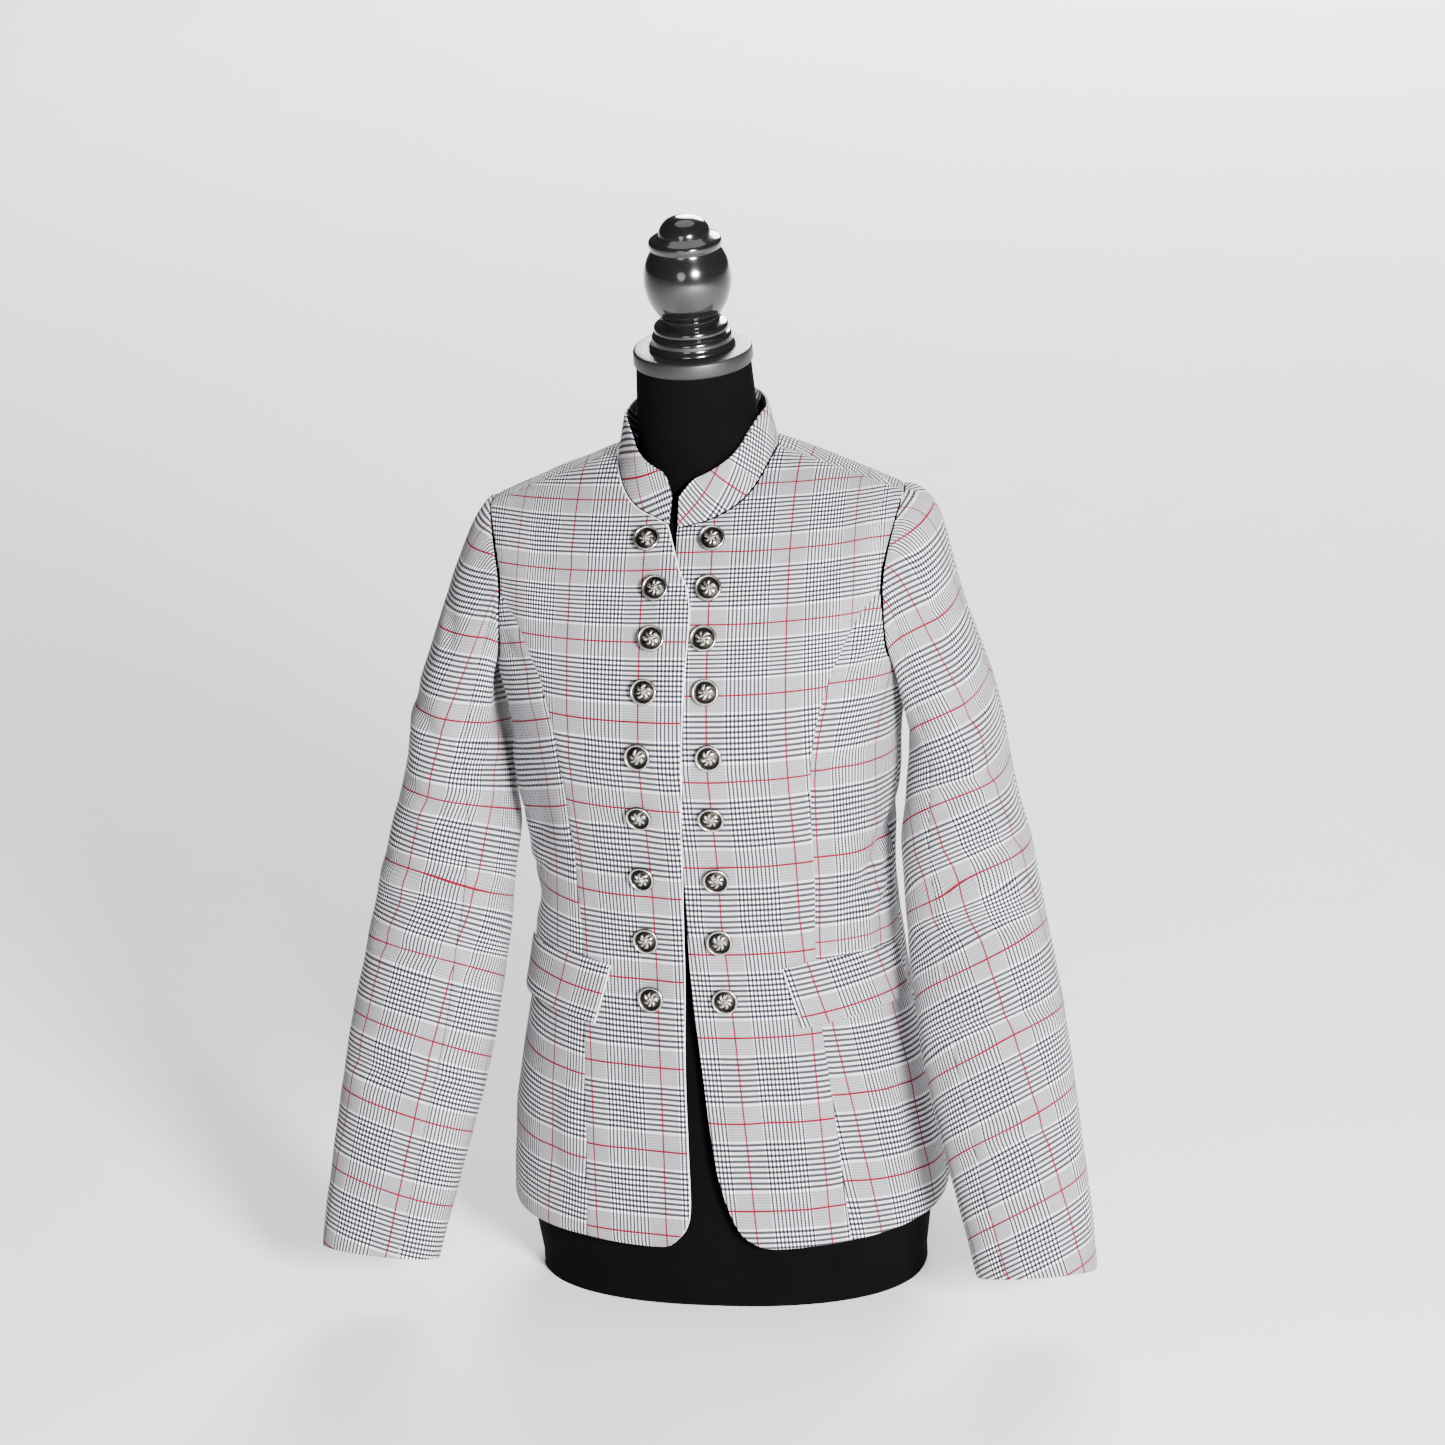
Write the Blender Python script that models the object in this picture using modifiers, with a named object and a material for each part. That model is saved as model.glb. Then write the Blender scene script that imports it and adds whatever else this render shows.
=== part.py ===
"""A military-style blazer worn by a limbless dress form with a turned finial.

The blazer's panels are all cut from one body surface: level outlines from the hem to the bust, and above
them a surface that closes on the shoulder seam. A place on it is an angle (0 at the centre front, 90 at the
side, 180 at the centre back) and a level (-1 at the hem, 0 at the bust, 1 at the shoulder seam).
+X is the wearer's left, the front faces -Y, +Z is up, and the origin is the middle of the form's base.
"""

import bisect
import math
from collections import namedtuple

import bmesh
import bpy
from mathutils import Matrix, Vector

# Cloth
CLOTH = 0.0018
COLLAR_CLOTH = 0.0022
FLAP_CLOTH = 0.0020
SEAM_GAP = 0.0003
LAP = CLOTH + 0.0014
LAP_EDGE_X = 0.042
LAP_WIDTH = 0.034

# Body surface
HEM_Z = 0.060
BUST_Z = 0.475
SQUARENESS = 2.3
SHOULDER_TIP = (0.169, 0.668)
NECK_SIDE = (0.0655, 0.702)
SHOULDER_TIP_Y = -0.008
NECK_SIDE_Y = 0.014
SHOULDER_TILT = 0.032
CENTRE_ROUNDING = 0.035
FRONT_POWERS = (1.7, 0.58, 0.16)
BACK_POWERS = (2.4, 0.62, 0.0)
BACK_ROLL = 1.7

Section = namedtuple("Section", "z half_width front back")
SECTIONS = [
    Section(0.000, 0.176, 0.118, 0.110),
    Section(0.060, 0.183, 0.126, 0.118),
    Section(0.110, 0.181, 0.123, 0.119),
    Section(0.160, 0.175, 0.119, 0.116),
    Section(0.200, 0.168, 0.116, 0.111),
    Section(0.250, 0.158, 0.112, 0.103),
    Section(0.300, 0.152, 0.109, 0.096),
    Section(0.345, 0.149, 0.109, 0.091),
    Section(0.390, 0.149, 0.114, 0.090),
    Section(0.430, 0.154, 0.124, 0.094),
    Section(0.475, 0.158, 0.134, 0.100),
]
Yoke = namedtuple("Yoke", "level half_width")
YOKE = [Yoke(0.0, 0.158), Yoke(0.2, 0.165), Yoke(0.5, 0.178), Yoke(0.8, 0.191), Yoke(1.0, 0.197)]

# Largest folds of the body: where, how long, how broad, how slanted, how deep
Fold = namedtuple("Fold", "side angle z reach breadth slant depth")
BODY_FOLDS = [
    Fold(1, 84, 0.385, 0.045, 0.011, 28, 0.0055),
    Fold(1, 66, 0.362, 0.040, 0.012, 40, 0.0030),
    Fold(-1, 80, 0.330, 0.045, 0.013, -24, 0.0035),
    Fold(-1, 62, 0.400, 0.040, 0.012, -32, 0.0022),
    Fold(1, 128, 0.350, 0.060, 0.013, -20, 0.0030),
    Fold(-1, 124, 0.372, 0.060, 0.013, 22, 0.0032),
]
FOLD_SCALE = 0.13

# Seams and edges of the wearer's left half, as (x, z) from the bottom up
Row = namedtuple("Row", "x z")
UNDERARM_Z = 0.507
FRONT_PRINCESS = [
    Row(0.1100, 0.062), Row(0.1063, 0.125), Row(0.1025, 0.190), Row(0.0985, 0.250), Row(0.0965, 0.310),
    Row(0.0985, 0.375), Row(0.1005, 0.440), Row(0.1085, 0.508), Row(0.1230, 0.552), Row(0.1400, 0.583),
    Row(0.1560, 0.600),
]
BACK_PRINCESS = [
    Row(0.100, 0.062), Row(0.092, 0.150), Row(0.080, 0.250), Row(0.074, 0.340),
    Row(0.080, 0.430), Row(0.096, 0.500), Row(0.118, 0.550), Row(0.157, 0.592),
]
FRONT_ARMHOLE = [Row(0.1560, 0.600), Row(0.1575, 0.618), Row(0.1625, 0.642), Row(*SHOULDER_TIP)]
BACK_ARMHOLE = [Row(0.157, 0.592), Row(0.158, 0.615), Row(0.1625, 0.642), Row(*SHOULDER_TIP)]
LOWER_ARMHOLE_BEND = Row(0.160, 0.545)
FRONT_NECK = [Row(0.020, 0.660), Row(0.041, 0.6695), Row(0.0545, 0.682), Row(*NECK_SIDE)]
BACK_NECK = [
    Row(0.0, 0.6965), Row(0.016, 0.6955), Row(0.032, 0.6935), Row(0.050, 0.6940), Row(0.060, 0.6965),
    Row(*NECK_SIDE),
]
RIGHT_EDGE = [
    Row(0.0248, 0.0655), Row(0.0140, 0.078), Row(0.0098, 0.098), Row(0.0100, 0.148), Row(0.0100, 0.219),
    Row(0.0075, 0.288), Row(0.0060, 0.348), Row(0.0008, 0.430), Row(-0.0037, 0.478), Row(-0.0060, 0.534),
    Row(-0.0092, 0.588), Row(-0.0070, 0.610), Row(-0.0010, 0.622), Row(0.0063, 0.640), Row(0.0128, 0.6565),
]
LEFT_EDGE = [
    Row(0.0440, 0.0632), Row(0.0313, 0.073), Row(0.0205, 0.0952), Row(0.0125, 0.126), Row(0.0078, 0.161),
    Row(0.0037, 0.207), Row(0.0000, 0.242), Row(-0.0030, 0.2765), Row(-0.0045, 0.330), Row(-0.0050, 0.480),
    Row(-0.0050, 0.600), Row(-0.0060, 0.6545),
]
HEM_CORNER_LENGTH = 0.016
HEM_SWING = 0.008
HEM_SWING_Z = (0.30, 0.06)
SIDE_HEM_Z = {1: 0.069, -1: 0.065}

# Counts of the panels' grids
LOWER_ROWS = 18
UPPER_ROWS = 9
PANEL_COLUMNS = 7
SIDE_COLUMNS = 5

# Sleeves: the middle of the arm and the sleeve's half sizes, from the armpit down to the cuff
Arm = namedtuple("Arm", "z x y half_x half_y")
ARM = [
    Arm(0.470, 0.2065, -0.012, 0.0385, 0.061),
    Arm(0.430, 0.2095, -0.018, 0.0430, 0.058),
    Arm(0.392, 0.2125, -0.026, 0.0505, 0.055),
    Arm(0.338, 0.2195, -0.041, 0.0560, 0.052),
    Arm(0.287, 0.2280, -0.058, 0.0585, 0.050),
    Arm(0.233, 0.2370, -0.075, 0.0600, 0.047),
    Arm(0.179, 0.2480, -0.092, 0.0580, 0.044),
    Arm(0.124, 0.2595, -0.108, 0.0545, 0.041),
    Arm(0.050, 0.2745, -0.127, 0.0490, 0.037),
]
SLEEVE_SQUARENESS = 2.2
CAP_ROWS = 6
TUBE_ROWS = 13
CAP_REACH = 0.036
CAP_RISE = 0.010
CAP_DROP = 0.110
CAP_UNDERARM_DROP = 0.030
CAP_UNDERARM_REACH = 0.35
CAP_UNDERARM_PULL = 0.25
CAP_STAND_OFF = 0.0008
CAP_TUCK = 0.0002
CAP_PUFF = {1: 0.013, -1: 0.002}
CAP_PUFF_AT = 0.2
CUFF_SLANT = math.radians(9)
CUFF_SLANT_Z = (0.190, 0.050)
FRONT_SEAM_INDEX = 9
BACK_SEAM_INDEX = 19
SleeveFold = namedtuple("SleeveFold", "side turn z reach breadth slant depth")
SLEEVE_ROUND = 0.34
SLEEVE_FOLDS = [
    SleeveFold(1, 0.30, 0.455, 0.050, 0.012, 24, 0.0030),
    SleeveFold(1, 0.22, 0.340, 0.045, 0.013, -20, 0.0030),
    SleeveFold(1, 0.34, 0.300, 0.045, 0.012, 18, 0.0028),
    SleeveFold(1, 0.75, 0.345, 0.060, 0.014, 10, 0.0030),
    SleeveFold(-1, 0.27, 0.470, 0.050, 0.012, -22, 0.0030),
    SleeveFold(-1, 0.20, 0.350, 0.050, 0.013, 16, 0.0028),
    SleeveFold(-1, 0.33, 0.310, 0.045, 0.012, -24, 0.0030),
    SleeveFold(-1, 0.76, 0.330, 0.060, 0.014, -12, 0.0030),
]

# Collar
COLLAR_HEIGHT = 0.036
COLLAR_LEAN_FRONT = 18
COLLAR_LEAN_BACK = 4
COLLAR_ROWS = 3
COLLAR_CORNER = 0.012
COLLAR_SIDE_DIP = 0.003
COLLAR_MIDDLE = Vector((0.0, -0.008, 0.0))
COLLAR_LAP_SHARE = 0.6
COLLAR_CORNER_COLUMNS = 1.6
COLLAR_STAND_OFF = 0.0005

# Pocket flaps: corners on the body as (x, z)
FLAP_TOP = [Row(0.070, 0.298), Row(0.098, 0.3025), Row(0.128, 0.3015), Row(0.1505, 0.296)]
FLAP_BOTTOM = [Row(0.0845, 0.248), Row(0.111, 0.2505), Row(0.137, 0.2525), Row(0.156, 0.2515)]
FLAP_COLUMNS = 9
FLAP_ROWS = 3
FLAP_FLARE = 0.0035
FLAP_LIFT = 0.0006

# Buttons: two columns of nine, from the top down
ButtonRow = namedtuple("ButtonRow", "z right_x left_x seat")
BUTTON_ROWS = [
    ButtonRow(0.6465, 0.0290, 0.0235, 0.0003), ButtonRow(0.6125, 0.0190, 0.0230, 0.0003),
    ButtonRow(0.5770, 0.0205, 0.0210, 0.0003), ButtonRow(0.5380, 0.0255, 0.0235, 0.0003),
    ButtonRow(0.4880, 0.0310, 0.0255, 0.0003), ButtonRow(0.4350, 0.0345, 0.0235, 0.0003),
    ButtonRow(0.3785, 0.0375, 0.0225, 0.0008), ButtonRow(0.3235, 0.0380, 0.0220, 0.0008),
    ButtonRow(0.2735, 0.0360, 0.0245, 0.0008),
]
BUTTON_STEPS = 10
BUTTON_PROFILE = [
    (0.0, 0.0066), (0.0045, 0.0059), (0.0068, 0.0044), (0.0084, 0.0054), (0.0100, 0.0040),
    (0.0090, 0.0026), (0.0026, 0.0022), (0.0026, 0.0), (0.0, 0.0),
]
BUTTON_TILT = math.radians(5)
BUTTON_LEAST_TILT = 0.4
BUTTON_TIP_SHARE = 0.5
BUTTON_TURN_STEP = 2.4

# Dress form
FORM_CLEARANCE = 0.0007
FORM_SLACK = 0.006
FORM_HEM_SLACK = 0.013
FORM_ARM_CUT = 0.014
FORM_ANGLES = 9
FORM_LEVELS = [
    -1.12, -1.0, -0.90, -0.78, -0.66, -0.54, -0.42, -0.30, -0.20, -0.10, 0.0,
    0.12, 0.25, 0.38, 0.50, 0.62, 0.73, 0.83, 0.91, 0.965,
]
FORM_TIGHT_FROM = 0.65
FORM_TIGHT_POWER = 0.6
ARM_CUT_POWER = 8
ARM_CUT_LEVEL = 0.6
NECK_LEAN = math.radians(6)
NECK_FOOT = Vector((0.0025, 0.011, 0.654))
NECK_DEPTH_SHARE = 0.88
NECK_PROFILE = [
    (0.0, 0.1240), (0.0462, 0.1240), (0.0475, 0.100), (0.0488, 0.075), (0.0502, 0.050),
    (0.0520, 0.025), (0.0540, 0.000), (0.0500, -0.060), (0.0, -0.060),
]
NECK_CAP_PROFILE = [
    (0.0, 0.1368), (0.0455, 0.1368), (0.0472, 0.1362), (0.0478, 0.1346),
    (0.0478, 0.1256), (0.0472, 0.1243), (0.0, 0.1243),
]
FINIAL_FOOT = 0.1371
FINIAL_PROFILE = [
    (0.0, 0.1080), (0.0080, 0.1072), (0.0150, 0.1040), (0.0195, 0.0985), (0.0208, 0.0935),
    (0.0225, 0.0925), (0.0283, 0.0895), (0.0293, 0.0860), (0.0280, 0.0825), (0.0288, 0.0800),
    (0.0332, 0.0700), (0.0350, 0.0590), (0.0345, 0.0500), (0.0315, 0.0390), (0.0260, 0.0290),
    (0.0222, 0.0240), (0.0240, 0.0215), (0.0290, 0.0190), (0.0300, 0.0150), (0.0285, 0.0130),
    (0.0318, 0.0105), (0.0325, 0.0050), (0.0325, 0.0), (0.0, 0.0),
]
TURNED_STEPS = 20


def along(rows, at, column, key="z"):
    """The value of one column of a table, on a smooth curve through its rows."""
    keys = [getattr(row, key) for row in rows]
    values = [getattr(row, column) for row in rows]
    at = min(max(at, keys[0]), keys[-1])
    i = min(bisect.bisect_right(keys, at) - 1, len(keys) - 2)

    def slope(k):
        low, high = max(k - 1, 0), min(k + 1, len(keys) - 1)
        return (values[high] - values[low]) / (keys[high] - keys[low])

    step = keys[i + 1] - keys[i]
    s = (at - keys[i]) / step
    return (
        (1 + 2 * s) * (1 - s) ** 2 * values[i]
        + s * (1 - s) ** 2 * step * slope(i)
        + s * s * (3 - 2 * s) * values[i + 1]
        + s * s * (s - 1) * step * slope(i + 1)
    )


def smooth_step(x):
    x = min(max(x, 0.0), 1.0)
    return x * x * (3 - 2 * x)


def along_shoulder(x):
    """0 at the shoulder tip and 1 at the neck side, running smoothly over the centre."""
    def rounded(distance):
        return math.hypot(distance, CENTRE_ROUNDING)

    tip = rounded(SHOULDER_TIP[0])
    return (tip - rounded(x)) / (tip - rounded(NECK_SIDE[0]))


def ridge_z(x):
    """Height of the shoulder line at a distance from the centre."""
    return SHOULDER_TIP[1] + (NECK_SIDE[1] - SHOULDER_TIP[1]) * along_shoulder(x)


def seam_y(x):
    """How far back the shoulder seam lies at a distance from the centre."""
    return SHOULDER_TIP_Y + (NECK_SIDE_Y - SHOULDER_TIP_Y) * along_shoulder(x)


def round_outline(angle, squareness):
    """Share of the half width and of the depth at an angle round a squarish oval."""
    turn = math.radians(angle)
    power = 2 / squareness
    across = math.copysign(abs(math.sin(turn)) ** power, math.sin(turn))
    return across, abs(math.cos(turn)) ** power


def fold_depth(folds, side, turn_m, key, z):
    """How far the cloth dips at a place, from a table of folds."""
    dip = 0.0
    for fold in folds:
        if fold.side != side:
            continue
        dx = turn_m - fold[1] * key
        dz = z - fold.z
        slant = math.radians(fold.slant)
        lengthwise = dx * math.cos(slant) + dz * math.sin(slant)
        across = dz * math.cos(slant) - dx * math.sin(slant)
        dip += fold.depth * math.exp(-((across / fold.breadth) ** 2) - (lengthwise / fold.reach) ** 2)
    return dip


def bare_point(angle, level, side):
    """A point of the body surface without its folds."""
    across, depth = round_outline(angle, SQUARENESS)
    back = abs(angle) > 90
    if level <= 0:
        z = BUST_Z + level * (BUST_Z - HEM_Z)
        half_width = along(SECTIONS, z, "half_width")
        reach = along(SECTIONS, z, "back" if back else "front")
        y = reach * depth * (1 if back else -1)
        return Vector((side * half_width * across, y, z))
    x = along(YOKE, level, "half_width", "level") * across
    powers = BACK_POWERS if back else FRONT_POWERS
    reach = SECTIONS[-1].back if back else SECTIONS[-1].front
    fullness = (1 - level ** powers[0]) ** (powers[1] + powers[2] * across**2)
    y = seam_y(x) * smooth_step(level) + reach * fullness * depth * (1 if back else -1)
    rise = level + (BACK_ROLL * level**8 * (1 - level) if back else 0)
    z = BUST_Z + rise * (ridge_z(x) - BUST_Z) + SHOULDER_TILT * side * x * smooth_step(level)
    return Vector((side * x, y, z))


def place(x, z, back=False):
    """The angle and level of a point given by its distance from the centre and its height."""
    if z <= BUST_Z:
        level = (z - BUST_Z) / (BUST_Z - HEM_Z)
        half_width = along(SECTIONS, z, "half_width")
    else:
        level = min((z - BUST_Z) / (ridge_z(x) - BUST_Z), 1.0)
        half_width = along(YOKE, level, "half_width", "level")
    share = min(abs(x) / half_width, 1.0)
    angle = math.copysign(math.degrees(math.asin(share ** (SQUARENESS / 2))), x)
    return (180 - angle, level) if back else (angle, level)


def surface_normal(angle, level, side):
    """The outward direction of the body surface; on the shoulder seam, halfway between front and back."""
    if level > 0.995:
        front = surface_normal(min(angle, 180 - angle), 0.985, side)
        back = surface_normal(max(angle, 180 - angle), 0.985, side)
        return (front + back).normalized()
    da, dl = 0.5, 0.004
    low, high = angle - da, angle + da
    if angle <= 90 < high:
        high = 90.0
    if low < 90 < angle:
        low = 90.0
    round_way = bare_point(high, level, side) - bare_point(low, level, side)
    up_way = bare_point(angle, level + dl, side) - bare_point(angle, level - dl, side)
    normal = round_way.cross(up_way).normalized() * side
    if abs(angle - 90) < 0.01:
        normal.y = 0.0
    return normal.normalized()


def body_point(angle, level, side, lift=0.0):
    """A point of the blazer's outer face, moved out by lift, and the outward direction there."""
    normal = surface_normal(angle, level, side)
    point = bare_point(angle, level, side)
    degree_m = math.radians(1) * FOLD_SCALE
    dip = fold_depth(BODY_FOLDS, side, angle * degree_m, degree_m, point.z)
    return point + normal * (lift - dip), normal


def evenly(places, count, side):
    """Places at even distances along a smooth line through the given ones."""
    fine = []
    for i in range(len(places) - 1):
        before, start = places[max(i - 1, 0)], places[i]
        end, after = places[i + 1], places[min(i + 2, len(places) - 1)]
        for k in range(12):
            s = k / 12
            fine.append(tuple(
                0.5 * (2 * b + (c - a) * s + (2 * a - 5 * b + 4 * c - d) * s * s + (3 * b - a - 3 * c + d) * s**3)
                for a, b, c, d in zip(before, start, end, after)
            ))
    fine.append(places[-1])
    points = [bare_point(angle, min(level, 1.0), side) for angle, level in fine]
    lengths = [0.0]
    for a, b in zip(points, points[1:]):
        lengths.append(lengths[-1] + (b - a).length)
    result = []
    for n in range(count + 1):
        at = lengths[-1] * n / count
        i = min(max(bisect.bisect_right(lengths, at) - 1, 0), len(fine) - 2)
        s = (at - lengths[i]) / max(lengths[i + 1] - lengths[i], 1e-9)
        s = min(max(s, 0.0), 1.0)
        result.append(tuple(a + (b - a) * s for a, b in zip(fine[i], fine[i + 1])))
    return result


def patch(bottom, top, left, right):
    """Places that fill the four edges of a panel."""
    columns, rows = len(bottom) - 1, len(left) - 1
    grid = []
    for j in range(rows + 1):
        v = j / rows
        row = []
        for i in range(columns + 1):
            u = i / columns
            row.append(tuple(
                (1 - v) * bottom[i][k] + v * top[i][k] + (1 - u) * left[j][k] + u * right[j][k]
                - (1 - u) * (1 - v) * bottom[0][k] - u * (1 - v) * bottom[-1][k]
                - (1 - u) * v * top[0][k] - u * v * top[-1][k]
                for k in (0, 1)
            ))
        grid.append(row)
    return grid


def drawn_in(grid, distance):
    """The grid with its four edges moved towards its middle, which leaves the gap at a seam."""
    rows, columns = len(grid), len(grid[0])
    result = [list(row) for row in grid]
    for j in range(rows):
        for i in range(columns):
            move = Vector()
            if i == 0:
                move += (grid[j][1] - grid[j][0]).normalized()
            if i == columns - 1:
                move += (grid[j][-2] - grid[j][-1]).normalized()
            if j == 0:
                move += (grid[1][i] - grid[0][i]).normalized()
            if j == rows - 1:
                move += (grid[-2][i] - grid[-1][i]).normalized()
            result[j][i] = grid[j][i] + move * distance
    return result


def wall(name, outer, inner, material, collection, gap=SEAM_GAP):
    """A cloth wall between two grids of points, closed round its edge."""
    outer, inner = drawn_in(outer, gap / 2), drawn_in(inner, gap / 2)
    rows, columns = len(outer), len(outer[0])
    mesh = bmesh.new()
    front = [[mesh.verts.new(p) for p in row] for row in outer]
    back = [[mesh.verts.new(p) for p in row] for row in inner]
    for j in range(rows - 1):
        for i in range(columns - 1):
            mesh.faces.new((front[j][i], front[j][i + 1], front[j + 1][i + 1], front[j + 1][i]))
            mesh.faces.new((back[j][i], back[j + 1][i], back[j + 1][i + 1], back[j][i + 1]))
    rim = [(0, i) for i in range(columns)] + [(j, columns - 1) for j in range(1, rows)]
    rim += [(rows - 1, i) for i in range(columns - 2, -1, -1)] + [(j, 0) for j in range(rows - 2, 0, -1)]
    for (j, i), (n, m) in zip(rim, rim[1:] + rim[:1]):
        mesh.faces.new((front[n][m], front[j][i], back[j][i], back[n][m]))
    return finished(name, mesh, material, collection)


def finished(name, mesh, material, collection):
    """An object from a bmesh, with its faces pointing out and smooth shading."""
    bmesh.ops.recalc_face_normals(mesh, faces=mesh.faces)
    data = bpy.data.meshes.new(name)
    mesh.to_mesh(data)
    mesh.free()
    data.shade_smooth()
    data.set_sharp_from_angle(angle=math.radians(40))
    data.materials.append(material)
    thing = bpy.data.objects.new(name, data)
    collection.objects.link(thing)
    return thing


def principled(name, colour, roughness, metallic=0.0):
    material = bpy.data.materials.new(name)
    material.use_nodes = True
    shader = material.node_tree.nodes["Principled BSDF"]
    shader.inputs["Base Color"].default_value = (*colour, 1.0)
    shader.inputs["Roughness"].default_value = roughness
    shader.inputs["Metallic"].default_value = metallic
    return material


def lap_lift(angle, level, side):
    """The right front rises over the left front near the centre."""
    if side > 0 or abs(angle) > 90:
        return 0.0
    x = bare_point(angle, level, 1).x
    return LAP * smooth_step((LAP_EDGE_X - x) / LAP_WIDTH)


def panel(name, grid, side, material, collection):
    """One panel of the blazer from its grid of places."""
    outer, inner = [], []
    for row in grid:
        outer.append([])
        inner.append([])
        for angle, level in row:
            point, normal = body_point(angle, min(level, 1.0), side, lap_lift(angle, level, side))
            outer[-1].append(point)
            inner[-1].append(point - normal * CLOTH)
    return wall(name, outer, inner, material, collection)


def front_princess(side):
    """The front princess seam, which swings a little towards the wearer's left below the waist."""
    top, low = HEM_SWING_Z
    return [Row(r.x + side * HEM_SWING * smooth_step((top - r.z) / (top - low)), r.z) for r in FRONT_PRINCESS]


def seam_lines(side):
    """The places along every seam and edge of one half of the blazer."""
    princess = front_princess(side)
    front_edge = LEFT_EDGE if side > 0 else RIGHT_EDGE
    underarm = (90.0, place(0.5, UNDERARM_Z)[1])
    side_hem = (90.0, place(0.5, SIDE_HEM_Z[side])[1])
    after_corner = place(front_edge[0].x + HEM_CORNER_LENGTH, HEM_Z)
    front_notch, back_notch = princess[-1], BACK_PRINCESS[-1]
    lines = {
        "front_princess": evenly([place(*r) for r in princess], LOWER_ROWS, side),
        "back_princess": evenly([place(*r, back=True) for r in BACK_PRINCESS], LOWER_ROWS, side),
        "side": evenly([side_hem, underarm], LOWER_ROWS, side),
        "front_armhole": evenly([place(*r) for r in FRONT_ARMHOLE], UPPER_ROWS, side),
        "back_armhole": evenly([place(*r, back=True) for r in BACK_ARMHOLE], UPPER_ROWS, side),
        "front_underarm": evenly(
            [place(*front_notch), place(*LOWER_ARMHOLE_BEND), underarm], SIDE_COLUMNS, side),
        "back_underarm": evenly(
            [underarm, place(*LOWER_ARMHOLE_BEND, back=True), place(*back_notch, back=True)], SIDE_COLUMNS, side),
        "front_neck": evenly([place(*r) for r in front_edge[-1:] + FRONT_NECK], UPPER_ROWS, side),
        "back_neck": evenly([place(*r, back=True) for r in BACK_NECK], UPPER_ROWS, side),
        "front_edge": evenly([place(*r) for r in front_edge], LOWER_ROWS, side),
        "centre_back": evenly([(180.0, -1.0), (180.0, place(*BACK_NECK[0])[1])], LOWER_ROWS, side),
        "front_shoulder": evenly([place(*NECK_SIDE), place(*SHOULDER_TIP)], PANEL_COLUMNS, side),
        "back_shoulder": evenly(
            [place(*SHOULDER_TIP, back=True), place(*NECK_SIDE, back=True)], PANEL_COLUMNS, side),
        "front_hem": evenly([place(*front_edge[0]), after_corner, place(*princess[0])], PANEL_COLUMNS, side),
        "side_front_hem": evenly([place(*princess[0]), side_hem], SIDE_COLUMNS, side),
        "side_back_hem": evenly([side_hem, place(*BACK_PRINCESS[0], back=True)], SIDE_COLUMNS, side),
        "back_hem": evenly([place(*BACK_PRINCESS[0], back=True), (180.0, -1.0)], PANEL_COLUMNS, side),
    }
    return lines


def build_panels(side, word, material, collection):
    lines = seam_lines(side)
    front = patch(
        lines["front_hem"], lines["front_shoulder"],
        lines["front_edge"] + lines["front_neck"][1:],
        lines["front_princess"] + lines["front_armhole"][1:],
    )
    side_front = patch(
        lines["side_front_hem"], lines["front_underarm"], lines["front_princess"], lines["side"])
    side_back = patch(
        lines["side_back_hem"], lines["back_underarm"], lines["side"], lines["back_princess"])
    back = patch(
        lines["back_hem"], lines["back_shoulder"],
        lines["back_princess"] + lines["back_armhole"][1:],
        lines["centre_back"] + lines["back_neck"][1:],
    )
    panel(f"front_{word}", front, side, material, collection)
    panel(f"side_front_{word}", side_front, side, material, collection)
    panel(f"side_back_{word}", side_back, side, material, collection)
    panel(f"back_{word}", back, side, material, collection)


def armhole_ring(side):
    """The armhole's points from the shoulder tip down the front, under the arm and up the back."""
    lines = seam_lines(side)
    places = lines["front_armhole"][::-1] + lines["front_underarm"][1:]
    places += lines["back_underarm"][1:] + lines["back_armhole"][1:]
    return [body_point(angle, min(level, 1.0), side) for angle, level in places[:-1]]


def arm_ring(z, side, count):
    """The middle of the arm at a height, its way down, and a ring of points round it."""
    def centre(height):
        return Vector((side * along(ARM[::-1], height, "x"), along(ARM[::-1], height, "y"), height))

    down = (centre(z - 0.004) - centre(z + 0.004)).normalized()
    sideways = Vector((side, 0, 0))
    sideways = (sideways - down * sideways.dot(down)).normalized()
    forward = down.cross(sideways) * side
    if forward.y > 0:
        forward.negate()
    start, end = CUFF_SLANT_Z
    slant = CUFF_SLANT * smooth_step((start - z) / (start - end))
    forward = forward * math.cos(slant) - down * math.sin(slant)
    half_x, half_y = along(ARM[::-1], z, "half_x"), along(ARM[::-1], z, "half_y")
    ring = []
    for k in range(count):
        turn = 2 * math.pi * k / count
        power = 2 / SLEEVE_SQUARENESS
        a = math.copysign(abs(math.cos(turn)) ** power, math.cos(turn))
        b = math.copysign(abs(math.sin(turn)) ** power, math.sin(turn))
        ring.append(centre(z) + sideways * (half_x * a) + forward * (half_y * b))
    return ring, down


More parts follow.
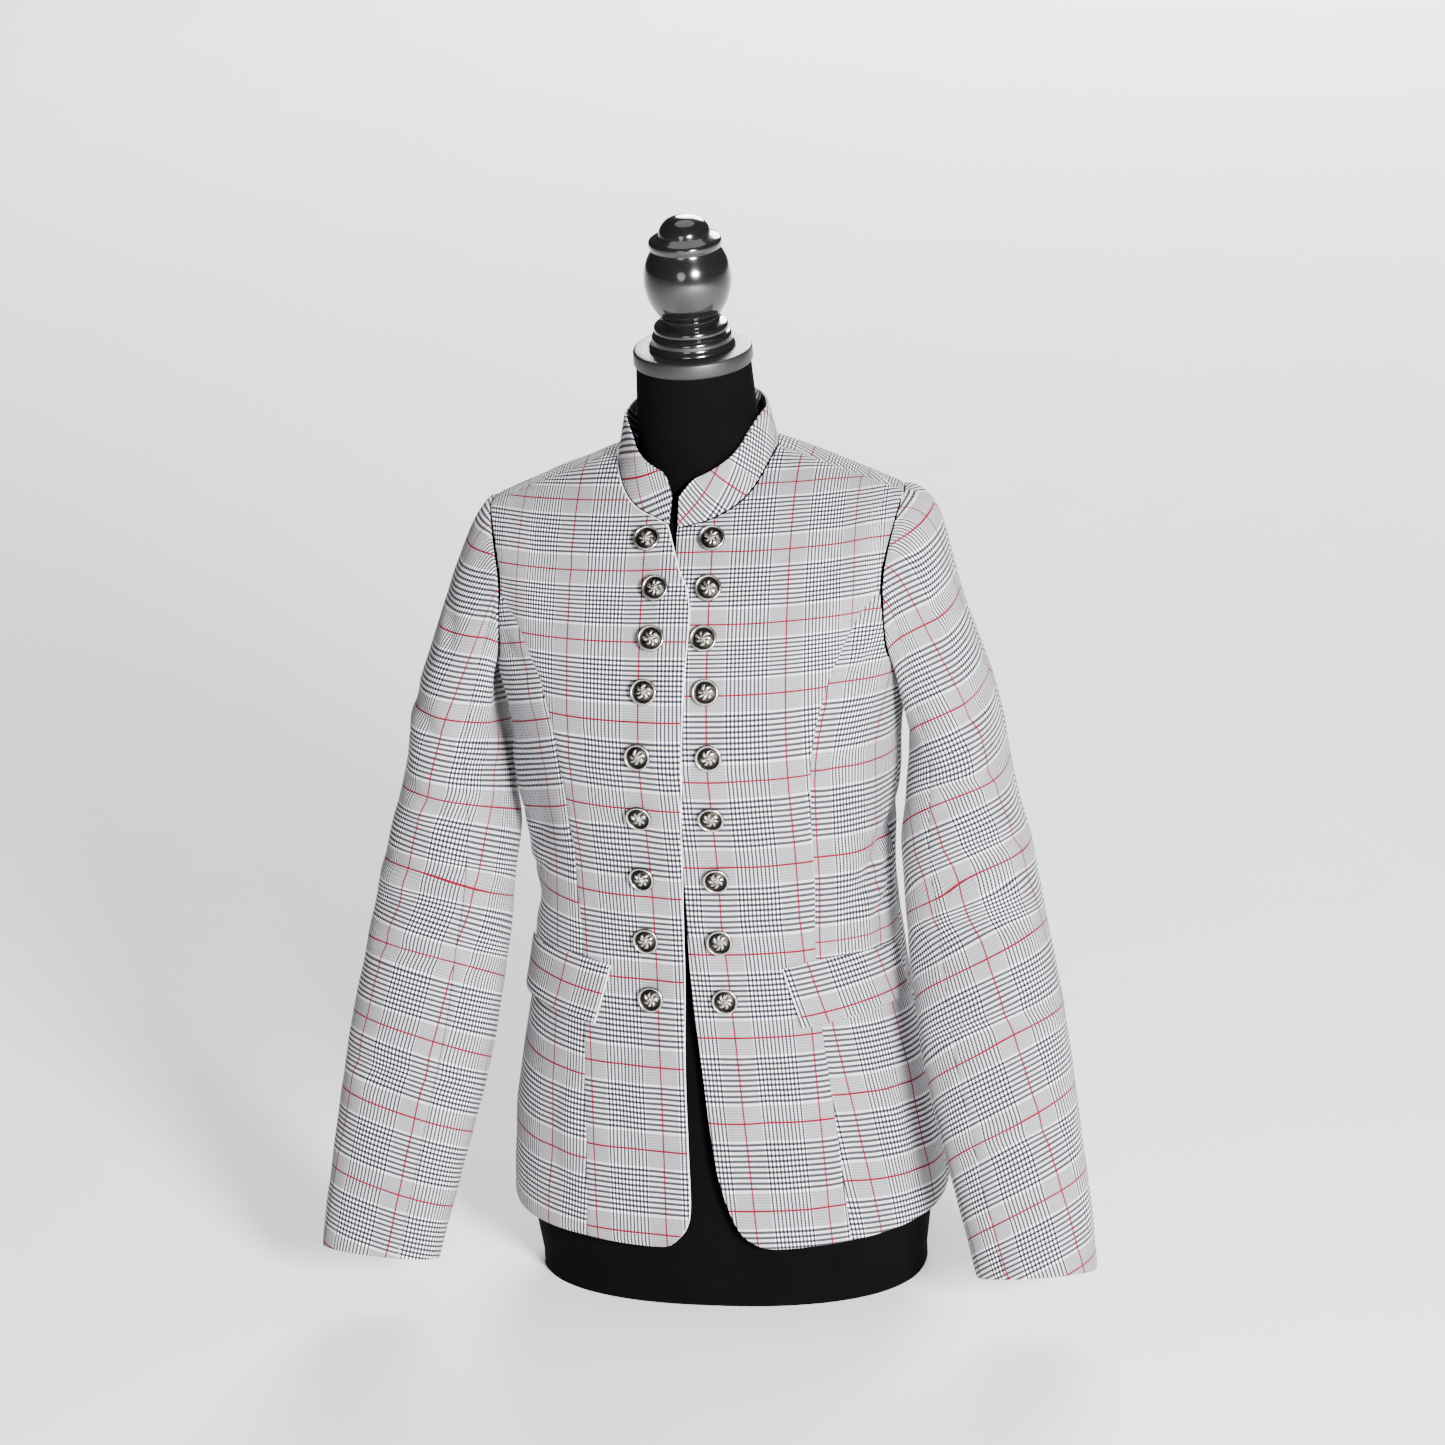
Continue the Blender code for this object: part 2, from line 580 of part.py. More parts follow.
def sleeve_surface(side):
    """Rings of points from the armhole to the cuff."""
    armhole = armhole_ring(side)
    count = len(armhole)
    top_ring, down = arm_ring(ARM[0].z, side, count)
    rows = []
    for j in range(CAP_ROWS):
        s = j / CAP_ROWS
        row = []
        for k, ((point, normal), end) in enumerate(zip(armhole, top_ring)):
            over = 0.5 + 0.5 * math.cos(2 * math.pi * k / count)
            start = point + Vector((side * CAP_STAND_OFF, 0, 0)) - normal * CAP_TUCK
            reach = CAP_REACH * (CAP_UNDERARM_REACH + (1 - CAP_UNDERARM_REACH) * over)
            away = Vector((side * reach, 0, CAP_RISE * over - CAP_UNDERARM_DROP * (1 - over)))
            drop = down * (CAP_DROP * (CAP_UNDERARM_PULL + (1 - CAP_UNDERARM_PULL) * over))
            swell = CAP_PUFF[side] * over**2 * s / CAP_PUFF_AT * math.exp(0.5 - 0.5 * (s / CAP_PUFF_AT) ** 2)
            row.append(
                start * (2 * s**3 - 3 * s**2 + 1) + away * (s**3 - 2 * s**2 + s)
                + end * (3 * s**2 - 2 * s**3) + drop * (s**3 - s**2) + Vector((side * swell, 0, 0))
            )
        rows.append(row)
    for j in range(TUBE_ROWS + 1):
        z = ARM[0].z + (ARM[-1].z - ARM[0].z) * j / TUBE_ROWS
        rows.append(arm_ring(z, side, count)[0])
    return rows


def ring_normals(rows, side):
    """Outward directions on a surface of closed rings."""
    count = len(rows[0])
    result = []
    for j, row in enumerate(rows):
        above, below = rows[max(j - 1, 0)], rows[min(j + 1, len(rows) - 1)]
        result.append([
            (row[(k + 1) % count] - row[k - 1]).cross(below[k] - above[k]).normalized() * side
            for k in range(count)
        ])
    return result


def build_sleeve(side, word, material, collection):
    """Upper sleeve round the outside of the arm, under sleeve between the two seams."""
    rows = sleeve_surface(side)
    normals = ring_normals(rows, side)
    count = len(rows[0])
    for j, row in enumerate(rows):
        for k in range(count):
            turn = k / count
            dip = fold_depth(SLEEVE_FOLDS, side, turn * SLEEVE_ROUND, SLEEVE_ROUND, row[k].z)
            row[k] = row[k] - normals[j][k] * (dip if j > 1 else 0.0)
    inner = [[p - n * CLOTH for p, n in zip(row, normal)] for row, normal in zip(rows, normals)]
    upper = list(range(BACK_SEAM_INDEX, count)) + list(range(FRONT_SEAM_INDEX + 1))
    under = list(range(FRONT_SEAM_INDEX, BACK_SEAM_INDEX + 1))
    for part, picks in (("upper", upper), ("under", under)):
        wall(
            f"sleeve_{part}_{word}",
            [[row[k] for k in picks] for row in rows],
            [[row[k] for k in picks] for row in inner],
            material, collection, 2 * SEAM_GAP,
        )


def build_collar(material, collection):
    """A stand collar that rises from the neckline and leans in."""
    halves = {}
    for side in (1, -1):
        lines = seam_lines(side)
        places = lines["front_neck"] + lines["back_neck"][-2::-1]
        halves[side] = [
            body_point(angle, min(level, 1.0), side, lap_lift(angle, level, side) * COLLAR_LAP_SHARE)[0]
            for angle, level in places
        ]
    foot = halves[-1] + halves[1][-2::-1]
    last = len(foot) - 1
    outer, inner = [], []
    for j in range(COLLAR_ROWS + 1):
        outer.append([])
        inner.append([])
        for i, point in enumerate(foot):
            from_end = min(i, last - i) / (last / 2)
            lean = math.radians(COLLAR_LEAN_FRONT + (COLLAR_LEAN_BACK - COLLAR_LEAN_FRONT) * from_end**1.5)
            inward = COLLAR_MIDDLE - Vector((point.x, point.y, 0.0))
            inward.normalize()
            up = Vector((0, 0, math.cos(lean))) + inward * math.sin(lean)
            corner = COLLAR_CORNER * max(0.0, 1 - from_end * last / 2 / COLLAR_CORNER_COLUMNS) ** 2
            dip = COLLAR_SIDE_DIP * math.exp(-(((from_end - 0.5) / 0.2) ** 2))
            height = (COLLAR_HEIGHT - corner - dip) * j / COLLAR_ROWS
            start = point + up * COLLAR_STAND_OFF
            away = (inward * math.cos(lean) - Vector((0, 0, math.sin(lean)))) * COLLAR_CLOTH
            outer[-1].append(start + up * height)
            inner[-1].append(start + up * height + away)
    wall("collar", outer, inner, material, collection)


def build_flap(side, word, material, collection):
    """A pocket flap that lies on the body and stands off a little at its lower edge."""
    top = evenly([place(*r) for r in FLAP_TOP], FLAP_COLUMNS, side)
    bottom = evenly([place(*r) for r in FLAP_BOTTOM], FLAP_COLUMNS, side)
    left = evenly([bottom[0], top[0]], FLAP_ROWS, side)
    right = evenly([bottom[-1], top[-1]], FLAP_ROWS, side)
    grid = patch(bottom, top, left, right)
    outer, inner = [], []
    for j, row in enumerate(grid):
        lift = FLAP_LIFT + FLAP_FLARE * (1 - j / FLAP_ROWS)
        outer.append([body_point(a, h, side, lift + FLAP_CLOTH)[0] for a, h in row])
        inner.append([body_point(a, h, side, lift)[0] for a, h in row])
    wall(f"flap_{word}", outer, inner, material, collection)


def turned(name, profile, steps, material, collection):
    """A solid of revolution about Z from a profile of (radius, height), top to bottom."""
    mesh = bpy.data.meshes.new(name)
    mesh.from_pydata([(r, 0.0, z) for r, z in profile], [(i, i + 1) for i in range(len(profile) - 1)], [])
    mesh.materials.append(material)
    thing = bpy.data.objects.new(name, mesh)
    collection.objects.link(thing)
    screw = thing.modifiers.new("Screw", "SCREW")
    screw.steps = steps
    screw.render_steps = steps
    screw.use_merge_vertices = True
    screw.merge_threshold = 0.00005
    screw.use_smooth_shade = True
    return thing


def build_buttons(material, collection):
    """Two columns of domed shank buttons, each on the cloth and tipped a little its own way."""
    for side, word in ((-1, "right"), (1, "left")):
        for n, row in enumerate(BUTTON_ROWS, start=1):
            angle, level = place(row.left_x if side > 0 else row.right_x, row.z)
            point, normal = body_point(angle, level, side, lap_lift(angle, level, side))
            button = turned(f"button_{word}_{n}", BUTTON_PROFILE, BUTTON_STEPS, material, collection)
            turn = BUTTON_TURN_STEP * n + side
            tilt = BUTTON_TILT * (BUTTON_LEAST_TILT + (1 - BUTTON_LEAST_TILT) * math.sin(n))
            tip = Vector((math.cos(turn), math.sin(turn), 0)) * math.sin(tilt)
            aim = Vector((0, 0, 1)) + tip * BUTTON_TIP_SHARE
            button.rotation_euler = (
                normal.to_track_quat("Z", "Y") @ aim.to_track_quat("Z", "Y")).to_euler()
            button.location = point + normal * row.seat


def form_point(angle, level, side):
    """A point of the form's torso: the body surface moved in, least on the shoulders, which carry the cloth."""
    if level <= 0:
        slack = FORM_SLACK + (FORM_HEM_SLACK - FORM_SLACK) * smooth_step(-level)
    else:
        eased = min(1.0, (1 - level) / (1 - FORM_TIGHT_FROM)) ** FORM_TIGHT_POWER
        slack = FORM_CLEARANCE + (FORM_SLACK - FORM_CLEARANCE) * eased
    point = bare_point(angle, level, side) - surface_normal(angle, level, side) * (CLOTH + slack)
    outward = (abs(point.x) / SHOULDER_TIP[0]) ** ARM_CUT_POWER
    point.x -= side * FORM_ARM_CUT * outward * smooth_step(level / ARM_CUT_LEVEL)
    return point


def form_rings():
    """Closed rings of the dress form's torso from just above its base to just below the shoulder line."""
    angles = [90 * k / FORM_ANGLES for k in range(FORM_ANGLES * 2 + 1)]
    rings = []
    for level in FORM_LEVELS:
        left = [form_point(a, level, 1) for a in angles]
        right = [form_point(a, level, -1) for a in angles[-2:0:-1]]
        rings.append(left + right)
    return rings


def build_form(cloth, wood, satin, collection, cutters):
    """Torso with its neck, the disc that caps the neck, and the turned finial."""
    rings = form_rings()
    mesh = bmesh.new()
    loops = [[mesh.verts.new(p) for p in ring] for ring in rings]
    count = len(loops[0])
    for low, high in zip(loops, loops[1:]):
        for k in range(count):
            mesh.faces.new((low[k], low[(k + 1) % count], high[(k + 1) % count], high[k]))
    floor = [Vector((v.co.x, v.co.y, 0.0)) for v in loops[0]]
    base = [mesh.verts.new(p) for p in floor]
    for k in range(count):
        mesh.faces.new((base[k], base[(k + 1) % count], loops[0][(k + 1) % count], loops[0][k]))
    mesh.faces.new(base[::-1])
    half = FORM_ANGLES * 2
    ridge = []
    for k in range(half + 1):
        side = 1 if k <= FORM_ANGLES else -1
        angle = 90 - 90 * k / FORM_ANGLES if k <= FORM_ANGLES else 90 * (k - FORM_ANGLES) / FORM_ANGLES
        ridge.append(mesh.verts.new(form_point(angle, 1.0, side)))
    top = loops[-1]

    def ridge_of(k):
        """Index on the ridge over point k of the top ring."""
        k = k % count
        if k <= half:
            return abs(FORM_ANGLES - k)
        return half - abs(FORM_ANGLES - (k - half))

    for k in range(count):
        a, b = top[k], top[(k + 1) % count]
        c, d = ridge[ridge_of(k + 1)], ridge[ridge_of(k)]
        mesh.faces.new((a, b, c, d))
    torso = finished("form_torso", mesh, cloth, collection)
    neck = turned("neck_column", NECK_PROFILE, TURNED_STEPS, cloth, cutters)
    neck.hide_render = True
    neck.display_type = "WIRE"
    neck.matrix_world = neck_place() @ Matrix.Diagonal((1.0, NECK_DEPTH_SHARE, 1.0, 1.0))
    join = torso.modifiers.new("Neck", "BOOLEAN")
    join.operation = "UNION"
    join.solver = "EXACT"
    join.object = neck
    cap = turned("neck_cap", NECK_CAP_PROFILE, TURNED_STEPS, satin, collection)
    cap.matrix_world = neck_place()
    finial = turned("finial", FINIAL_PROFILE, TURNED_STEPS, wood, collection)
    finial.matrix_world = neck_place() @ Matrix.Translation((0, 0, FINIAL_FOOT))


def neck_place():
    """The neck's own frame: its foot, leaning forward."""
    return Matrix.Translation(NECK_FOOT) @ Matrix.Rotation(NECK_LEAN, 4, "X")


def main():
    for thing in list(bpy.data.objects):
        bpy.data.objects.remove(thing, do_unlink=True)
    garment = bpy.data.collections.new("military_blazer_on_form")
    cutters = bpy.data.collections.new("joining_shapes")
    for collection in (garment, cutters):
        bpy.context.scene.collection.children.link(collection)
    suiting = principled("suiting", (0.42, 0.42, 0.45), 0.85)
    silver = principled("antique_silver", (0.62, 0.60, 0.57), 0.32, 1.0)
    jersey = principled("form_jersey", (0.012, 0.011, 0.011), 0.95)
    lacquer = principled("black_lacquer", (0.006, 0.006, 0.006), 0.12)
    satin = principled("black_satin_disc", (0.010, 0.009, 0.009), 0.45)
    for side, word in ((-1, "right"), (1, "left")):
        build_panels(side, word, suiting, garment)
        build_sleeve(side, word, suiting, garment)
        build_flap(side, word, suiting, garment)
    build_collar(suiting, garment)
    build_buttons(silver, garment)
    build_form(jersey, lacquer, satin, garment, cutters)
    bpy.context.view_layer.update()


main()
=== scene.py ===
"""Looks of a military-style blazer worn by a limbless dress form with a turned finial.

Fine cloth shells lie on the forms of the solids. A place on the body is an angle (0 at the centre front,
90 at the side, 180 at the centre back) and a level (-1 at the hem, 0 at the bust, 1 at the shoulder seam).
Every cloth piece has a map named "cloth" in metres: across the cloth, then along it. Where a folded edge
has a painted highlight, a pale line, a second map named "edge" says how near that edge is.
"""

import math
from collections import namedtuple

import bmesh
import bpy
import numpy as np
from mathutils import Matrix, Vector


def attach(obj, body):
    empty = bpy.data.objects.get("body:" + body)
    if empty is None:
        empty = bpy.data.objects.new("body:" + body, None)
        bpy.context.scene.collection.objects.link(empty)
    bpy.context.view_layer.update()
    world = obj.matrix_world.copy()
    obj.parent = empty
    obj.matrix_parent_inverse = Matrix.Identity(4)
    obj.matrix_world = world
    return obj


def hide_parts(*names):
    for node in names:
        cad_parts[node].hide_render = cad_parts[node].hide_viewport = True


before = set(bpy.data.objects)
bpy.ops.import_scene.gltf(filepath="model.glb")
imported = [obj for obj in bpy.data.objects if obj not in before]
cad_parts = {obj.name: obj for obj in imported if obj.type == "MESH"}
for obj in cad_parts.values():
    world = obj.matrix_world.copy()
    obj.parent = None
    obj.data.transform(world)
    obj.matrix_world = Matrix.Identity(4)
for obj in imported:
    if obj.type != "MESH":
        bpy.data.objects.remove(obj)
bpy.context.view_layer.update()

# The wearer's right is at the left of the picture
WORDS = {-1: "right", 1: "left"}

# Cloth
CLOTH = 0.0018
COLLAR_CLOTH = 0.0022
FLAP_CLOTH = 0.0020
SEAM_GAP = 0.0003
LAP = CLOTH + 0.0014
LAP_REACH = 0.042
LAP_BLEND = 0.034

# Glen check in threads, across (warp) and along (weft) the cloth: a band of bold stripes with a pale edge,
# then fine stripes with a red line in their middle. A stripe is BOLD or FINE threads wide, and each thread
# passes over TWILL others and under as many
WARP_PITCH = 0.000397
WEFT_PITCH = 0.000560
Stripes = namedtuple("Stripes", "repeat band edge red")
WARP_STRIPES = Stripes(160, 88, 2, 3)
WEFT_STRIPES = Stripes(128, 76, 4, 3)
BOLD = 4
FINE = 2
TWILL = 2
WARP_RED_AT = (WARP_STRIPES.band + WARP_STRIPES.repeat) / 2 * WARP_PITCH
WEFT_RED_AT = (WEFT_STRIPES.band + WEFT_STRIPES.repeat) / 2 * WEFT_PITCH
RED_WEFTS_APART = WEFT_STRIPES.repeat * WEFT_PITCH
LIGHT = (0.92, 0.89, 0.93)
DARK = (0.003, 0.003, 0.010)
RED = (0.12, 0.0008, 0.012)
FINE_LIGHT = 0.52
FINE_DARK = 0.34
SHOW_THROUGH = 0.85
# Painted highlight: a pale line along a folded edge, where the rounded fold would catch the light
EDGE_HIGHLIGHT_COLOUR = (0.86, 0.85, 0.87)
EDGE_HIGHLIGHT_SHARE = 0.75
EDGE_HIGHLIGHT_WIDTH = 0.0009
EDGE_REACH = 0.01

# Body surface
HEM_Z = 0.060
BUST_Z = 0.475
SQUARENESS = 2.3
SHOULDER_TIP = (0.169, 0.668)
NECK_SIDE = (0.0655, 0.702)
SHOULDER_TIP_Y = -0.008
NECK_SIDE_Y = 0.014
SHOULDER_TILT = 0.032
CENTRE_ROUNDING = 0.035
FRONT_POWERS = (1.7, 0.58, 0.16)
BACK_POWERS = (2.4, 0.62)
BACK_ROLL = 1.7
BACK_ROLL_POWER = 8
SEAM_LEVEL = 0.995
BELOW_SEAM = 0.985
ANGLE_STEP = 0.5
LEVEL_STEP = 0.004
ON_SIDE = 0.01
TINY = 1e-12

Section = namedtuple("Section", "z half_width front back")
SECTIONS = [
    Section(0.000, 0.176, 0.118, 0.110),
    Section(0.060, 0.183, 0.126, 0.118),
    Section(0.110, 0.181, 0.123, 0.119),
    Section(0.160, 0.175, 0.119, 0.116),
    Section(0.200, 0.168, 0.116, 0.111),
    Section(0.250, 0.158, 0.112, 0.103),
    Section(0.300, 0.152, 0.109, 0.096),
    Section(0.345, 0.149, 0.109, 0.091),
    Section(0.390, 0.149, 0.114, 0.090),
    Section(0.430, 0.154, 0.124, 0.094),
    Section(0.475, 0.158, 0.134, 0.100),
]
Yoke = namedtuple("Yoke", "level half_width")
YOKE = [Yoke(0.0, 0.158), Yoke(0.2, 0.165), Yoke(0.5, 0.178), Yoke(0.8, 0.191), Yoke(1.0, 0.197)]

# Largest folds: turn is the angle on the body and the share of the way round on a sleeve
Fold = namedtuple("Fold", "side turn z reach breadth slant depth")
BODY_FOLDS = [
    Fold(1, 84, 0.385, 0.045, 0.011, 28, 0.0055),
    Fold(1, 66, 0.362, 0.040, 0.012, 40, 0.0030),
    Fold(-1, 80, 0.330, 0.045, 0.013, -24, 0.0035),
    Fold(-1, 62, 0.400, 0.040, 0.012, -32, 0.0022),
    Fold(1, 128, 0.350, 0.060, 0.013, -20, 0.0030),
    Fold(-1, 124, 0.372, 0.060, 0.013, 22, 0.0032),
]
FOLD_RADIUS = 0.13
DEGREE_LENGTH = math.radians(1) * FOLD_RADIUS

# Seams and edges of the wearer's left half, as (x, z) from the bottom up
Row = namedtuple("Row", "x z")
UNDERARM_Z = 0.507
FRONT_PRINCESS = [
    Row(0.1100, 0.062), Row(0.1063, 0.125), Row(0.1025, 0.190), Row(0.0985, 0.250), Row(0.0965, 0.310),
    Row(0.0985, 0.375), Row(0.1005, 0.440), Row(0.1085, 0.508), Row(0.1230, 0.552), Row(0.1400, 0.583),
    Row(0.1560, 0.600),
]
BACK_PRINCESS = [
    Row(0.100, 0.062), Row(0.092, 0.150), Row(0.080, 0.250), Row(0.074, 0.340),
    Row(0.080, 0.430), Row(0.096, 0.500), Row(0.118, 0.550), Row(0.157, 0.592),
]
FRONT_ARMHOLE = [Row(0.1560, 0.600), Row(0.1575, 0.618), Row(0.1625, 0.642), Row(*SHOULDER_TIP)]
BACK_ARMHOLE = [Row(0.157, 0.592), Row(0.158, 0.615), Row(0.1625, 0.642), Row(*SHOULDER_TIP)]
LOWER_ARMHOLE_BEND = Row(0.160, 0.545)
FRONT_NECK = [Row(0.020, 0.660), Row(0.041, 0.6695), Row(0.0545, 0.682), Row(*NECK_SIDE)]
BACK_NECK = [
    Row(0.0, 0.6965), Row(0.016, 0.6955), Row(0.032, 0.6935), Row(0.050, 0.6940), Row(0.060, 0.6965),
    Row(*NECK_SIDE),
]
RIGHT_EDGE = [
    Row(0.0248, 0.0655), Row(0.0140, 0.078), Row(0.0098, 0.098), Row(0.0100, 0.148), Row(0.0100, 0.219),
    Row(0.0075, 0.288), Row(0.0060, 0.348), Row(0.0008, 0.430), Row(-0.0037, 0.478), Row(-0.0060, 0.534),
    Row(-0.0092, 0.588), Row(-0.0070, 0.610), Row(-0.0010, 0.622), Row(0.0063, 0.640), Row(0.0128, 0.6565),
]
LEFT_EDGE = [
    Row(0.0440, 0.0632), Row(0.0313, 0.073), Row(0.0205, 0.0952), Row(0.0125, 0.126), Row(0.0078, 0.161),
    Row(0.0037, 0.207), Row(0.0000, 0.242), Row(-0.0030, 0.2765), Row(-0.0045, 0.330), Row(-0.0050, 0.480),
    Row(-0.0050, 0.600), Row(-0.0060, 0.6545),
]
HEM_CORNER_LENGTH = 0.016
HEM_SWING = 0.008
HEM_SWING_FROM = 0.30
HEM_SWING_BLEND = 0.24
SIDE_HEM_Z = {1: 0.069, -1: 0.065}

# Steps of the panels' grids, a multiple of the solids' own
LOWER_STEPS = 126
UPPER_STEPS = 63
PANEL_STEPS = 42
CURVE_STEPS = 12
SIDE_STEPS = 30

# Sleeves: the middle of the arm and the sleeve's half sizes, from the armpit down to the cuff
Arm = namedtuple("Arm", "z x y half_x half_y")
ARM = [
    Arm(0.470, 0.2065, -0.012, 0.0385, 0.061),
    Arm(0.430, 0.2095, -0.018, 0.0430, 0.058),
    Arm(0.392, 0.2125, -0.026, 0.0505, 0.055),
    Arm(0.338, 0.2195, -0.041, 0.0560, 0.052),
    Arm(0.287, 0.2280, -0.058, 0.0585, 0.050),
    Arm(0.233, 0.2370, -0.075, 0.0600, 0.047),
    Arm(0.179, 0.2480, -0.092, 0.0580, 0.044),
    Arm(0.124, 0.2595, -0.108, 0.0545, 0.041),
    Arm(0.050, 0.2745, -0.127, 0.0490, 0.037),
]
SLEEVE_SQUARENESS = 2.2
CAP_REACH = 0.036
CAP_RISE = 0.010
CAP_DROP = 0.110
CAP_PUFF = {1: 0.013, -1: 0.002}
CAP_PUFF_AT = 0.2
CAP_STAND_OFF = 0.0008
CAP_SINK = 0.0002
CAP_UNDER_REACH = 0.35
CAP_UNDER_FALL = 0.030
CAP_UNDER_DROP = 0.25
CAP_CALM = 0.08
CAP_CALM_BLEND = 0.3
ARM_STEP = 0.004
CUFF_SLANT = math.radians(9)
CUFF_SLANT_Z = (0.190, 0.050)
RING_STEPS = 5
CAP_STEPS = 36
TUBE_STEPS = 104
FRONT_SEAM = 9
BACK_SEAM = 19
SLEEVE_FOLDS = [
    Fold(1, 0.30, 0.455, 0.050, 0.012, 24, 0.0030),
    Fold(1, 0.22, 0.340, 0.045, 0.013, -20, 0.0030),
    Fold(1, 0.34, 0.300, 0.045, 0.012, 18, 0.0028),
    Fold(1, 0.75, 0.345, 0.060, 0.014, 10, 0.0030),
    Fold(-1, 0.27, 0.470, 0.050, 0.012, -22, 0.0030),
    Fold(-1, 0.20, 0.350, 0.050, 0.013, 16, 0.0028),
    Fold(-1, 0.33, 0.310, 0.045, 0.012, -24, 0.0030),
    Fold(-1, 0.76, 0.330, 0.060, 0.014, -12, 0.0030),
]
SLEEVE_ROUND = 0.34
SLEEVE_SEED = 3

# Collar
COLLAR_HEIGHT = 0.036
COLLAR_LEAN_FRONT = 18
COLLAR_LEAN_BACK = 4
COLLAR_LEAN_POWER = 1.5
COLLAR_CORNER = 0.012
COLLAR_CORNER_REACH = 1.6 / 18
COLLAR_SIDE_DIP = 0.003
COLLAR_SIDE = 0.5
COLLAR_SIDE_REACH = 0.2
COLLAR_STAND_OFF = 0.0005
COLLAR_LAP_SHARE = 0.6
COLLAR_WAVE = 0.0006
COLLAR_WAVE_STEP = 0.19
COLLAR_STEPS = 14
COLLAR_BIAS = math.radians(38)
NECK_MIDDLE = (0.0, -0.008, 0.0)

# Pocket flaps: corners on the body as (x, z)
FLAP_TOP = [Row(0.070, 0.298), Row(0.098, 0.3025), Row(0.128, 0.3015), Row(0.1505, 0.296)]
FLAP_BOTTOM = [Row(0.0845, 0.248), Row(0.111, 0.2505), Row(0.137, 0.2525), Row(0.156, 0.2515)]
FLAP_COLUMNS = 45
FLAP_ROWS = 24
FLAP_FLARE = 0.0035
FLAP_STAND_OFF = 0.0006
FLAP_ROLL_REACH = 0.0016
FLAP_ROLL = 0.0006


def smooth_step(x):
    x = np.clip(x, 0.0, 1.0)
    return x * x * (3 - 2 * x)


def blend(a, b, share):
    return a + (b - a) * share


def bell(x):
    """A soft bump, 1 at its middle."""
    return np.exp(-(x**2))


def steps(count):
    return np.linspace(0.0, 1.0, count + 1)


def unit(vectors):
    return vectors / np.maximum(np.linalg.norm(vectors, axis=-1, keepdims=True), TINY)


def way_along(points, axis):
    """How far each point of a line or grid lies from the first one, along an axis."""
    apart = np.diff(points, axis=axis, prepend=np.take(points, [0], axis))
    return np.linalg.norm(apart, axis=-1).cumsum(axis=axis)


def hermite(s, start, leaving, end, arriving):
    """A smooth way from start to end, with its directions at both."""
    return (
        (1 + 2 * s) * (1 - s) ** 2 * start + s * (1 - s) ** 2 * leaving
        + s * s * (3 - 2 * s) * end + s * s * (s - 1) * arriving)


def curve(a, b, c, d, s):
    """A place between b and c on a smooth curve through four points."""
    return 0.5 * (2 * b + (c - a) * s + (2 * a - 5 * b + 4 * c - d) * s * s + (3 * b - a - 3 * c + d) * s**3)


def along(rows, at, column, key="z"):
    """The values of one column of a table, on a smooth curve through its rows."""
    keys = np.array([getattr(row, key) for row in rows])
    values = np.array([getattr(row, column) for row in rows])
    at = np.clip(at, keys[0], keys[-1])
    i = np.clip(np.searchsorted(keys, at, side="right") - 1, 0, len(keys) - 2)
    spots = np.arange(len(keys))
    low, high = np.maximum(spots - 1, 0), np.minimum(spots + 1, len(keys) - 1)
    slopes = (values[high] - values[low]) / (keys[high] - keys[low])
    step = keys[i + 1] - keys[i]
    return hermite((at - keys[i]) / step, values[i], step * slopes[i], values[i + 1], step * slopes[i + 1])


def along_shoulder(x):
    """0 at the shoulder tip and 1 at the neck side, running smoothly over the centre."""
    tip = math.hypot(SHOULDER_TIP[0], CENTRE_ROUNDING)
    neck = math.hypot(NECK_SIDE[0], CENTRE_ROUNDING)
    return (tip - np.hypot(x, CENTRE_ROUNDING)) / (tip - neck)


def ridge_z(x):
    """Height of the shoulder line at a distance from the centre."""
    return blend(SHOULDER_TIP[1], NECK_SIDE[1], along_shoulder(x))


def seam_y(x):
    """How far back the shoulder seam lies at a distance from the centre."""
    return blend(SHOULDER_TIP_Y, NECK_SIDE_Y, along_shoulder(x))


def bare_points(angle, level, side, tilted=True):
    """Points of the body surface without its folds."""
    angle, level = np.broadcast_arrays(np.asarray(angle, float), np.asarray(level, float))
    turn = np.radians(angle)
    across = np.sign(np.sin(turn)) * np.abs(np.sin(turn)) ** (2 / SQUARENESS)
    depth = np.abs(np.cos(turn)) ** (2 / SQUARENESS)
    back = np.abs(angle) > 90
    facing = np.where(back, 1.0, -1.0)
    low_z = BUST_Z + level * (BUST_Z - HEM_Z)
    low_x = along(SECTIONS, low_z, "half_width") * across
    low_reach = np.where(back, along(SECTIONS, low_z, "back"), along(SECTIONS, low_z, "front"))
    up = np.clip(level, 0.0, 1.0)
    up_x = along(YOKE, up, "half_width", "level") * across
    up_reach = np.where(back, SECTIONS[-1].back, SECTIONS[-1].front)
    front_full = (1 - up ** FRONT_POWERS[0]) ** (FRONT_POWERS[1] + FRONT_POWERS[2] * across**2)
    back_full = (1 - up ** BACK_POWERS[0]) ** BACK_POWERS[1]
    full = np.where(back, back_full, front_full)
    up_y = seam_y(up_x) * smooth_step(up) + up_reach * full * depth * facing
    rise = up + np.where(back, BACK_ROLL * up**BACK_ROLL_POWER * (1 - up), 0.0)
    up_z = BUST_Z + rise * (ridge_z(up_x) - BUST_Z)
    if tilted:
        up_z = up_z + SHOULDER_TILT * side * up_x * smooth_step(up)
    low = level <= 0
    return np.stack([
        side * np.where(low, low_x, up_x),
        np.where(low, low_reach * depth * facing, up_y),
        np.where(low, low_z, up_z),
    ], axis=-1)


